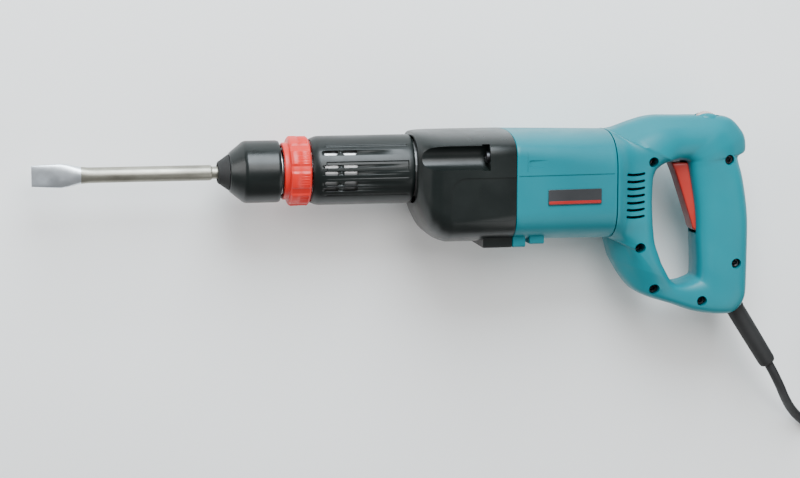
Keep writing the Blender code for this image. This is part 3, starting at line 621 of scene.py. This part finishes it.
def make_springs(finishes):
    """The two springs in the chuck, each drawn as a fixed coil."""
    rows = (
        ("chuck_spring", 28.9, 42.7, 11.6, 5, "chuck_cover_slide", 42.7, 0.52),
        ("change_ring_spring", 46.3, 56.2, 18.2, 3, "change_ring_slide", 46.3, 0.53),
    )
    wire, steps, sides = 0.75, 40, 10
    for node, start, end, mean, turns, joint, anchor, keep in rows:
        rings = []
        total = turns * steps
        for i in range(total + 1):
            turn = 2 * math.pi * i / steps
            x = start + wire + (end - start - 2 * wire) * i / total
            ring = []
            for k in range(sides):
                t = 2 * math.pi * k / sides
                r = mean + wire * math.cos(t)
                ring.append((x + wire * math.sin(t), r * math.cos(turn), r * math.sin(turn)))
            rings.append(ring)
        made = new_object(f"{node}_wire", *loft(rings), [finishes["machined_steel"]])
        finish_piece(made, "holder", "machined_steel", node)
        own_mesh(made)


def slot_tool(start, end, low, high, near, far, side):
    """A round-ended slot cutter through a side wall, lying along X."""
    half = (high - low) / 2
    centre = (high + low) / 2
    outline = []
    for k in range(9):
        a = math.pi / 2 + math.pi * k / 8
        outline.append((start + half + half * math.cos(a), centre + half * math.sin(a)))
    for k in range(9):
        a = -math.pi / 2 + math.pi * k / 8
        outline.append((end - half + half * math.cos(a), centre + half * math.sin(a)))
    return drawn(outline, side * near, side * far)


def cutter(solids):
    """One object of several separate solids, for combine()."""
    points, faces = [], []
    for more_points, more_faces in solids:
        shift = len(points)
        points += more_points
        faces += [tuple(shift + k for k in face) for face in more_faces]
    return new_object("cutter", points, faces, [])


BARREL_RIBS = (  # top, bottom and depth of the long grooves round the barrel
    (21.9, 20.5, 0.9), (9.6, 1.0, 1.1), (-3.6, -4.6, 0.5), (-17.4, -18.6, 0.7),
)


def barrel_depth(a):
    """How deep the grooves are at an angle round the barrel."""
    y = math.cos(a) * 28
    depth = 0.0
    for high, low, deep in BARREL_RIBS:
        depth = max(depth, deep * smooth((high - y) / 0.5) * smooth((y - low) / 0.5))
    return depth


def make_barrel(finishes):
    """The barrel's cover: a domed front, long grooves down its sides and six slots each side."""
    sides = 480
    stations = [
        (74.2, 25.1, 0), (74.3, 25.6, 0), (75.2, 26.2, 0), (78.4, 27.4, 0), (80.4, 27.8, 0),
        (84.4, 27.9, 0), (85.2, 27.9, 1), (150.5, 28.0, 1), (151.3, 28.0, 0), (154.4, 28.0, 0),
        (156.3, 27.4, 0), (156.6, 26.9, 0),
    ]
    rings = []
    for x, radius, grooved in stations:
        ring = []
        for a in angles(sides):
            r = radius - grooved * barrel_depth(a)
            ring.append((x, r * math.cos(a), r * math.sin(a)))
        rings.append(ring)
    rings.append(circle(156.6, 25.0, 0, 0, sides))
    rings.append(circle(74.2, 25.0, 0, 0, sides))
    made = new_object("barrel_shell", *loft(rings, closed=True), [finishes["black_housing"]], 30)
    solids = []
    for low, high in ((14.2, 18.0), (4.4, 6.9), (-1.4, 1.8), (-10.0, -6.4), (-14.6, -11.2)):
        for start in (83, 98.5):
            for side in (1, -1):
                solids.append(slot_tool(start, start + 11.5, low, high, 10, 34, side))
    combine(made, cutter(solids), "DIFFERENCE")
    finish_piece(made, "housing", "black_housing", "barrel_cover")


# Gear housing and motor housing

MOTOR_END = 320.0
JOINT_X = 235.0  # where the two housings meet
HOUSING_FRONT = 157.0
GEAR_STATIONS = (  # x, top, bottom, half width, top and bottom of the flat side
    (157.0, 30.2, -29, 33, 8, -6), (160, 30.8, -38.5, 38, 10, -10), (166, 31, -49.6, 43.5, 12, -20),
    (174, 31.1, -55.9, 47, 13, -28), (182, 31.1, -58.9, 48, 13, -30),
    (234.7, 31.1, -58.9, 48, 13, -30),
)
MOTOR_STATIONS = (
    (235, 31, -58.4, 48, 13, -30), (280, 30.3, -58.8, 45.4, 5, -28),
    (319.7, 29.5, -59.2, 42.8, -4, -27),
)
GEAR_SPREAD, MOTOR_SPREAD = 1.5, 4.0  # lengths over which their measures are evened out
CHANNEL_Y, CHANNEL_Z, CHANNEL_RADIUS = 12.6, 46.5, 9.6  # the screw channels' axis and radius


def section_place(share, station, inset):
    """A point of a housing's left side: 0 is its top, 1 the flat side's top, 2 the bottom."""
    _, top, bottom, side, high, low = station
    if share <= 1:
        t = math.pi / 2 * share
        return high + (top - inset - high) * math.cos(t) ** 0.8, (side - inset) * math.sin(t) ** 0.8
    t = math.pi / 2 * (share - 1)
    y = low - (low - bottom - inset) * math.sin(t) ** 0.75
    return y, max(0.0, (side - inset) * max(0.0, math.cos(t)) ** 0.75)


def section(x, station, inset=0.0):
    """A housing's section: flat sides between two heights, with rounded shoulders and belly."""
    steps = 40
    half = [section_place(i / steps, station, inset) for i in range(steps + 1)]
    half += [section_place(1 + i / steps, station, inset) for i in range(steps + 1)]
    half[-1] = (half[-1][0], 0.0)
    mirrored = [(y, -z) for y, z in half[-2:0:-1]]
    return [(x, y, z) for y, z in half + mirrored]


def station_at(table, x, spread):
    """A housing's measures at a place, evened out over a short length."""
    places = [row[0] for row in table]
    total = np.zeros(5)
    offsets = np.linspace(-spread, spread, 7)
    for offset in offsets:
        at = min(max(x + offset, places[0]), places[-1])
        total += [np.interp(at, places, [row[k] for row in table]) for k in range(1, 6)]
    return (x, *(total / len(offsets)))


def housing_solid(name, table, places, spread, material):
    """A housing with walls, open at both ends, its outer edges slightly rounded."""
    start, end = places[0], places[-1]
    edge = ((0.0, 0.7), (0.15, 0.35), (0.4, 0.12), (0.8, 0.0))
    outside = []
    for run, cut in edge:
        outside.append(section(start + run, station_at(table, start + run, spread), cut))
    for x in places[1:-1]:
        outside.append(section(x, station_at(table, x, spread)))
    for run, cut in reversed(edge):
        outside.append(section(end - run, station_at(table, end - run, spread), cut))
    inside = [section(x, station_at(table, x, spread), WALL) for x in reversed(places)]
    return new_object(name, *loft(outside + inside, closed=True), [material], 30)


def bar(start, end, radius, y, z):
    """A round cutter along X."""
    return loft([circle(x, radius, y, z, 64) for x in (start, end)])


def round_box(low, high, radius, steps=6):
    """A box whose upright edges along Z are rounded."""
    (x0, y0, z0), (x1, y1, z1) = low, high
    outline = []
    for cx, cy, turn in ((x1, y1, 0), (x0, y1, 1), (x0, y0, 2), (x1, y0, 3)):
        mx = cx - radius if cx == x1 else cx + radius
        my = cy - radius if cy == y1 else cy + radius
        for k in range(steps + 1):
            a = math.pi / 2 * (turn + k / steps)
            outline.append((mx + radius * math.cos(a), my + radius * math.sin(a)))
    return drawn(outline, z0, z1)


def foot(name, start, end, bottom, half, station, material):
    """A broad low foot across a housing's underside, fitted to its curve."""
    _, _, belly, side, _, low = station
    corner = 2.2
    under = [(half - corner + corner * math.sin(a), bottom + corner - corner * math.cos(a))
             for a in (math.pi / 2 * k / 5 for k in range(6))]
    outline = [(-z, y) for z, y in reversed(under)] + under
    for k in range(25):
        z = half - 0.2 - (2 * half - 0.4) * k / 24
        c = (abs(z) / side) ** (1 / 0.75)
        outline.append((z, low - (low - belly) * math.sqrt(1 - c * c) ** 0.75 + 1.2))
    rings = [[(x, y, z) for z, y in outline] for x in (start, end)]
    made = new_object(name, *loft(rings), [material])
    soften(made, 0.8)
    return made


def make_gear_housing(finishes):
    """The black case: its screw channels and recessed panels, then its foot and two screws."""
    black = finishes["black_housing"]
    places = [HOUSING_FRONT + 28 * i / 26 for i in range(27)] + [HOUSING_FRONT + 34, JOINT_X - GAP]
    made = housing_solid("gear_case", GEAR_STATIONS, places, GEAR_SPREAD, black)
    spots = [157.2 + 26 * i / 20 for i in range(21)] + [234.0]
    rings = [section(x, station_at(GEAR_STATIONS, x, GEAR_SPREAD), WALL / 2) for x in spots]
    whole = new_object("whole", *loft(rings), [black])
    for side in (1, -1):
        liner = cutter([bar(158, 219, CHANNEL_RADIUS + 4.6, CHANNEL_Y, side * CHANNEL_Z)])
        combine(liner, whole, "INTERSECT", keep=True)
        combine(made, liner, "UNION")
    bpy.data.objects.remove(whole)
    solids = []
    for side in (1, -1):
        solids.append(bar(140, 208, CHANNEL_RADIUS, CHANNEL_Y, side * CHANNEL_Z))
        solids.append(bar(207, 213.2, CHANNEL_RADIUS + 1.1, CHANNEL_Y, side * (CHANNEL_Z - 0.6)))
        z = sorted((side * 47.3, side * 60))
        solids.append(round_box((181, -47, z[0]), (250, -3.6, z[1]), 13, 12))
    for solid in solids:
        combine(made, cutter([solid]), "DIFFERENCE")
    repaint(made, black, 28)
    finish_piece(made, "housing", "black_housing", "gear_housing")
    pad = foot("gear_case_foot", 210.6, 234.6, -62.4, 33.4, GEAR_STATIONS[-1], black)
    finish_piece(pad, "housing", "black_housing")
    head = [
        (211.4, 0.3), (211.4, 1.6), (210.6, 1.9), (210.6, 4.0), (211.0, 4.5), (213.1, 4.7),
        (213.1, 0.3),
    ]
    for i, side in enumerate((1, -1)):
        screw = turned(f"gear_case_screw_{i + 1}", head, finishes["screw_steel"], sides=40)
        screw.data.transform(Matrix.Translation(Vector((0, CHANNEL_Y, side * (CHANNEL_Z - 6))) * MM))
        finish_piece(screw, "housing", "screw_steel")


def make_motor_housing(finishes):
    """The blue case: a seam line and a small recess on each side, then its two feet."""
    blue = finishes["blue_housing"]
    end = MOTOR_END - GAP
    places = [JOINT_X + (end - JOINT_X) * i / 26 for i in range(27)]
    made = housing_solid("motor_case", MOTOR_STATIONS, places, MOTOR_SPREAD, blue)
    solids = []
    seam_y = -3.2
    for side in (1, -1):
        rings = []
        for x in (236.5, 317):
            depth = station_at(MOTOR_STATIONS, x, MOTOR_SPREAD)[3] - 0.55
            rings.append([(x, seam_y - 0.5, side * depth), (x, seam_y + 0.5, side * depth),
                          (x, seam_y + 0.5, side * 60), (x, seam_y - 0.5, side * 60)])
        solids.append(loft(rings))
        z = sorted((side * (section_depth(252, 7) - 0.6), side * 60))
        solids.append(round_box((245, 4, z[0]), (261, 9.6, z[1]), 1.2))
        z = sorted((side * (section_depth(243.6, 10) - 0.45), side * 60))
        solids.append(round_box((243.2, 0.2, z[0]), (244.0, 19, z[1]), 0.3, 2))
    for solid in solids:
        combine(made, cutter([solid]), "DIFFERENCE")
    repaint(made, blue, 28)
    finish_piece(made, "housing", "blue_housing", "motor_housing")
    for i, (start, end, bottom) in enumerate(((235.1, 245.9, -62.4), (249.2, 261.5, -60.2))):
        pad = foot(f"motor_case_foot_{i + 1}", start, end, bottom, 33.0, MOTOR_STATIONS[0], blue)
        finish_piece(pad, "housing", "blue_housing")


def section_depth(x, y):
    """Half width of the motor housing at a place on its side."""
    _, top, _, side, high, _ = station_at(MOTOR_STATIONS, x, MOTOR_SPREAD)
    if y <= high:
        return side
    c = ((y - high) / (top - high)) ** (1 / 0.8)
    return side * math.sqrt(max(0.0, 1 - c * c)) ** 0.8


def make_badge(finishes):
    """A plain dark plate with a red line along its foot, following the housing's side."""
    x0, x1, y0, y1 = 261.0, 306.0, -27.0, -14.5

    def plate(name, low, high, lift, thick, slot, inset):
        outline = []
        for x, y, turn in ((x1, high, 0), (x0, high, 1), (x0, low, 2), (x1, low, 3)):
            radius = 0.9
            mx = x - radius - inset if x == x1 else x + radius + inset
            my = y - radius if y == high else y + radius
            for k in range(6):
                a = math.pi / 2 * (turn + k / 5)
                outline.append((mx + radius * math.cos(a), my + radius * math.sin(a)))
        rings = []
        for lifted, shrink in ((lift, 0), (lift + thick * 0.7, 0), (lift + thick, 0.25)):
            centre = ((x0 + x1) / 2, (low + high) / 2)
            ring = []
            for x, y in outline:
                u, v = x - centre[0], y - centre[1]
                u -= math.copysign(shrink, u)
                v -= math.copysign(shrink, v)
                z = np.interp(x, (235, 280, 319.7), (48, 45.4, 42.8))
                ring.append((centre[0] + u, centre[1] + v, z + lifted))
            rings.append(ring)
        return new_object(name, *loft(rings), [finishes[slot]], 30)

    made = plate("badge_blank", y0, y1, 0.3, 0.75, "badge", 0.0)
    finish_piece(made, "housing", "badge", "badge_plate")
    line = plate("badge_line", y0 + 0.9, y0 + 3.2, 1.0, 0.18, "stripe", 0.6)
    finish_piece(line, "housing", "badge")


# The D-shaped handle, in two halves

FREE_STATIONS = (  # outer edge, opening's edge, half width
    ((325, -76.5), (373, -93.5), 27), ((332.3, -89.2), (375.5, -96.5), 25),
    ((339.6, -99.2), (377.5, -98), 23.5), ((346.9, -105.8), (379.5, -99), 22.5),
    ((358.4, -111), (381.5, -99.4), 21.5), ((375.8, -116.5), (385, -99.2), 21),
    ((393.2, -122.7), (389.9, -97.9), 21), ((410.7, -126), (394.5, -96), 21),
    ((425.3, -126.5), (396.9, -94.5), 21), ((432.6, -123.9), (397.7, -92.6), 21),
    ((438.3, -117.8), (397.8, -88), 21), ((441.1, -109.4), (397.7, -80), 21),
    ((441.8, -91.8), (397.2, -70), 20.5), ((442.1, -74.2), (396.6, -60), 20),
    ((442, -49.4), (396.0, -45), 20), ((440.4, -32.1), (394.2, -30), 20),
    ((436.8, -11.1), (391.6, -15), 20), ((433.7, 0.8), (389.6, -4), 20.5),
    ((434.3, 5.7), (388.8, 0), 21), ((440.5, 9.7), (388, 2), 21.5),
    ((440.1, 20.8), (387, 2.6), 22), ((435.2, 29.2), (386, 2.8), 22),
    ((427.9, 36.3), (385, 2.9), 22), ((418.8, 39.1), (383.5, 3), 22),
    ((399.7, 39.9), (381.5, 3), 23), ((380.7, 40.1), (379, 3), 24.5),
    ((359.2, 40.1), (377, 2.9), 27), ((343.8, 36.6), (375.5, 2.8), 29),
    ((326.8, 30.7), (374.2, 2.7), 31),
)
JOINT_EDGE = (  # the opening's edge beside the motor housing, and the half width there
    ((373.4, 2.6), 31), ((371, 2.3), 31), ((367.5, 1.2), 31), ((363.6, -1.0), 31),
    ((360.4, -3.6), 31), ((358.2, -7.8), 31), ((357.2, -12.3), 31), ((356.8, -20), 31),
    ((356.7, -30.2), 31), ((357.4, -44), 31), ((358.5, -54), 30), ((360.2, -65.1), 29.5),
    ((363.4, -74), 29), ((366.3, -81.9), 28.5),
)
SCREWS = (  # x, y and how far the wall stands out there
    (354, 4, 27.3), (422.5, 3.5, 18.4), (344, -66.5, 26.9), (429.5, -83, 17.8), (358.5, -102, 20.1),
    (400, -113.5, 18.5),
)
GUARD_ROOT = (434.2, -121.3, 0.0)
GUARD_DIRECTION = (0.537, -0.845, 0.0)
TRIGGER_PIVOT = (401.0, -50.0)
DIAL_CENTRE = (407.0, 32.6)


def across(near, far, start, width, level, steps):
    """Points over the handle's side, from its outer edge to the opening, starting at a height.

    Level says how slowly it climbs from there: 0 for a round edge and 1 for a gentle slope.
    """
    power = 3.8
    made = []
    for k in range(steps + 1):
        c = math.cos(math.pi * k / steps)
        t = (1 - squared(c, 2 / power)) / 2
        rounded_rise = (1 - (1 - min(1.0, 2 * t)) ** power) ** (1 / power)
        rise = rounded_rise * (1 - level) + smooth(2 * t) * level
        fall = (1 - max(0.0, 2 * t - 1) ** power) ** (1 / power)
        z = max(GAP / 2, (start + (width - start) * rise) * fall)
        made.append((near[0] + (far[0] - near[0]) * t, near[1] + (far[1] - near[1]) * t, z))
    return made


def curve_row(rows, at):
    """Values between a table's rows, on a smooth curve."""
    count = len(rows)
    k = min(int(at), count - 2)
    t = at - k
    b, c = np.array(rows[k]), np.array(rows[k + 1])
    a = np.array(rows[k - 1]) if k else 2 * b - c
    d = np.array(rows[k + 2]) if k + 2 < count else 2 * c - b
    bend = 2 * b + (c - a) * t + (2 * a - 5 * b + 4 * c - d) * t**2
    return (bend + (3 * b - a - 3 * c + d) * t**3) / 2


def joint_place(at, inset=0.0):
    """A point round the motor housing's rear edge: 0 is its top, 6 to 7 its flat, 13 its foot."""
    station = MOTOR_STATIONS[-1]
    if at <= 6:
        return section_place(at / 6, station, inset)
    if at < 7:
        high, low = station[4:]
        return high + (low - high) * (at - 6), station[3] - inset
    return section_place(1 + max(1e-6, (at - 7) / 6), station, inset)


def shoulder_level(foot, away):
    """How gently the outer shoulder climbs, by stations from the joint: top beam 0, foot 1."""
    if foot:
        return 0.5 * (1 - smooth(away / 5))
    return 0.5 * (1 - smooth((away - 8) / 4))


def handle_rings(steps):
    """Rings across the handle, going once round its opening."""
    start = MOTOR_END + GAP
    edges = [(*edge, width) for edge, width in JOINT_EDGE]
    rings = []
    joint_steps = 65
    for i in range(joint_steps + 1):
        at = 13 * i / joint_steps
        y, z = joint_place(at)
        inner_y, inner_z = joint_place(at, WALL)
        x1, y1, width = curve_row(edges, at)
        run = (Vector((x1, y1)) - Vector((MOTOR_END, y))).normalized() * WALL
        level = max(shoulder_level(0 if at < 6.5 else 1, 0.0), min(1.0, z / 25))
        skin = across((start, y), (x1, y1), z, width, level, steps)
        far = (x1 - run.x, y1 - run.y)
        lining = across((start, inner_y), far, inner_z, width - WALL, 1.0, steps)
        rings.append(skin + lining[::-1])
    rows = [(*near, *far, width) for near, far, width in FREE_STATIONS]
    free_steps = 5 * (len(rows) - 1)
    for i in range(free_steps + 1):
        x0, y0, x1, y1, width = curve_row(rows, (len(rows) - 1) * i / free_steps)
        run = (Vector((x1, y1)) - Vector((x0, y0))).normalized() * WALL
        share = i / free_steps
        level = shoulder_level(1, share * 27) if share < 0.5 else shoulder_level(0, (1 - share) * 27)
        skin = across((x0, y0), (x1, y1), 0.0, width, level, steps)
        near, far = (x0 + run.x, y0 + run.y), (x1 - run.x, y1 - run.y)
        lining = across(near, far, 0.0, width - WALL, level, steps)
        rings.append(skin + lining[::-1])
    return rings


def dial_cheek(side):
    """Half of a low blister on the beam's top, which the speed dial's slot is cut through."""
    x, _ = DIAL_CENTRE
    rings = []
    for i in range(25):
        u = -math.cos(math.pi * i / 24)
        size = max(0.03, math.sqrt(1 - u * u))
        ring = []
        for k in range(25):
            a = math.pi * k / 24
            ring.append((x + 12 * u, 36.3 + 6.1 * size * math.cos(a),
                         side * (GAP / 2 + 9.4 * size * math.sin(a))))
        rings.append(ring)
    return loft(rings)


def post(x, y, profile, sides=40):
    """An upright turned solid at a place on the handle, from (z, radius) steps."""
    return loft([[(x + r * math.cos(a), y + r * math.sin(a), z) for a in angles(sides)]
                 for z, r in profile])


def guard_point(along, off, z):
    """A point beside the cord guard's axis, which starts at the handle's corner."""
    dx, dy, _ = GUARD_DIRECTION
    x, y, _ = GUARD_ROOT
    return (x + dx * along - dy * off, y + dy * along + dx * off, z)


def guard_ring(along, radius, sides):
    return [guard_point(along, radius * math.cos(a), radius * math.sin(a)) for a in angles(sides)]


def vent_tool(y, side):
    """A round-ended slot, slightly bowed."""
    x0, x1, half, bow = 330.6, 345.4, 1.15, 0.9
    upper, lower = [], []
    for k in range(13):
        t = k / 12
        x = x0 + (x1 - x0) * t
        sag = bow * (1 - (2 * t - 1) ** 2)
        upper.append((x, y + half - sag))
        lower.append((x, y - half - sag))
    left = [(x0 + half * math.cos(a), y + half * math.sin(a)) for a in
            (math.pi / 2 + math.pi * k / 6 for k in range(1, 6))]
    right = [(x1 + half * math.cos(a), y + half * math.sin(a)) for a in
             (-math.pi / 2 + math.pi * k / 6 for k in range(1, 6))]
    outline = lower + right + upper[::-1] + left
    return drawn(outline, side * 22.0, side * 60.0)


def make_handle(finishes):
    """Two moulded halves with screw bosses, vents, and wells for the trigger and the dial."""
    blue = finishes["blue_housing"]
    for name, side in (("handle_left", 1), ("handle_right", -1)):
        rings = [[(x, y, side * z) for x, y, z in ring] for ring in handle_rings(20)]
        made = new_object(f"{name}_shell", *loft(rings, closed=True), [blue], 40)
        bosses = [post(x, y, ((side * 0.3, 5.2), (side * (top - 1.2), 5.2))) for x, y, top in SCREWS]
        combine(made, cutter(bosses), "UNION")
        combine(made, cutter([dial_cheek(side)]), "UNION")
        combine(made, cutter([loft([guard_ring(-16, 8.8, 58), guard_ring(8, 8.8, 58)])]), "DIFFERENCE")
        combine(made, cutter([vent_tool(-4.9 - 5.8 * i, side) for i in range(7)]), "DIFFERENCE")
        wells = [
            drawn(((374.9, -58.3), (406.6, -58.3), (406.6, 7.3), (374.9, 7.3)), -10.3, 10.3),
            drawn(((396.4, 25.5), (417.6, 25.5), (417.6, 46), (396.4, 46)), -5.3, 5.3),
        ]
        combine(made, cutter(wells), "DIFFERENCE")
        x, y = TRIGGER_PIVOT
        bores = [post(x, y, ((side * 9, 2.4), (side * 13.5, 2.4)))]
        for x, y, _ in SCREWS:
            if side > 0:
                bores.append(post(x, y, ((-1, 2.4), (12.3, 2.4), (12.4, 4.3), (45, 4.3))))
            else:
                bores.append(post(x, y, ((-12.5, 2.1), (1, 2.1))))
        combine(made, cutter(bores), "DIFFERENCE")
        weld(made)
        repaint(made, blue, 35)
        finish_piece(made, "housing", "blue_housing", name)


def make_handle_screws(finishes):
    """Cross-headed screws at the bottom of their bores, each turned a little further."""
    steps = ((-11.5, 1.75), (12.7, 1.75), (12.8, 3.75), (14.4, 3.75), (15.1, 3.2))
    steel = finishes["screw_steel"]
    for i, (x, y, _) in enumerate(SCREWS):
        made = new_object(f"case_screw_{i + 1}", *post(x, y, steps), [steel], 30)
        turn = 0.5 * i
        solids = []
        for a in (turn, turn + math.pi / 2):
            u, v = math.cos(a), math.sin(a)
            corners = [(x + u * p - v * q, y + v * p + u * q) for p, q in
                       ((-2.3, -0.45), (2.3, -0.45), (2.3, 0.45), (-2.3, 0.45))]
            solids.append(drawn(corners, 13.4, 16))
        for solid in solids:
            combine(made, cutter([solid]), "DIFFERENCE")
        made.data.materials.clear()
        made.data.materials.append(steel)
        finish_piece(made, "housing", "screw_steel", f"handle_screw_{i + 1}")


def make_guard(finishes):
    """A moulded sleeve round the lead, with a thicker root and a rounded mouth."""
    profile = (
        (-9, 7.4), (-8.7, 7.9), (-8, 8.1), (2.5, 8.1), (3.4, 7.9), (4.2, 7.6), (10, 7.7), (20, 7.6),
        (32, 7.5), (44, 7.35), (55.5, 7.2), (57.5, 7.0), (59, 6.5), (59.7, 5.8), (60, 4.9), (60, 4.2),
    )
    rings = [guard_ring(along, radius, 64) for along, radius in profile]
    made = new_object("lead_guard", *loft(rings), [finishes["rubber"]], 50)
    finish_piece(made, "housing", "rubber", "cord_guard")


def make_trigger(finishes):
    """A wedge-shaped lever with a pad to pull on and softened sides, on its pivot's bore."""
    outline = [
        (375.6, 1.2), (376.7, -1.6), (378.2, -4.9), (380.4, -10.6), (382.6, -17.0), (385.4, -25.2),
        (388.0, -33.0), (390.8, -41.4), (393.2, -48.6), (394.3, -53.2), (395.6, -55.3), (398, -56),
        (402.5, -56), (404, -53), (404, -2), (401, 1.2),
    ]
    middle_x, middle_y = 396.0, -28.0
    profile = (
        (-9.6, 2.0), (-9.3, 1.0), (-8.5, 0.3), (-7.4, 0), (7.4, 0), (8.5, 0.3), (9.3, 1.0), (9.6, 2.0),
    )
    rings = []
    for z, cut in profile:
        ring = []
        for x, y in outline:
            shrink = 1 - cut / (16.0 if x < middle_x else 40.0)
            ring.append((middle_x + (x - middle_x) * shrink,
                         middle_y + (y - middle_y) * (1 - cut / 28.0), z))
        rings.append(ring)
    made = new_object("trigger_body", *loft(rings), [finishes["trigger_red"]], 50)
    x, y = TRIGGER_PIVOT
    combine(made, cutter([post(x, y, ((-15, 2.4), (15, 2.4)), 32)]), "DIFFERENCE")
    made.data.materials.clear()
    made.data.materials.append(finishes["trigger_red"])
    finish_piece(made, "trigger", "trigger_red", "trigger")


def make_dial(finishes):
    """A thumb wheel with a knurled rim."""
    x, y = DIAL_CENTRE
    lobes, steps = 30, 8
    rings = []
    for z, size in ((-4.6, 0.86), (-4.3, 0.95), (-3.8, 1.0), (3.8, 1.0), (4.3, 0.95), (4.6, 0.86)):
        ring = []
        for a in angles(lobes * steps):
            r = (9.9 - 0.45 * smooth(0.5 - 0.9 * math.cos(lobes * a))) * size
            ring.append((x + r * math.cos(a), y + r * math.sin(a), z))
        rings.append(ring)
    made = new_object("dial_wheel", *loft(rings), [finishes["dial_plastic"]], 35)
    finish_piece(made, "dial", "dial_plastic", "speed_dial")


def paint_inside(finishes):
    """Gives each of the frame's own parts the material of its slot."""
    slots = {row["node"]: row["material_slot"] for row in frame["record"]["subparts"]}
    for name, part in frame["nodes"].items():
        part.data.materials.clear()
        part.data.materials.append(finishes[slots[name]])


def main():
    make_camera()
    finishes = make_finishes()
    lead = make_cord(finishes)
    along = [make_tie(finishes), *make_plug(finishes)]
    make_studio()
    make_chisel(finishes)
    make_chuck(finishes)
    make_change_ring(finishes)
    make_springs(finishes)
    make_barrel(finishes)
    make_gear_housing(finishes)
    make_motor_housing(finishes)
    make_badge(finishes)
    make_handle(finishes)
    make_handle_screws(finishes)
    make_guard(finishes)
    make_trigger(finishes)
    make_dial(finishes)
    paint_inside(finishes)


main()
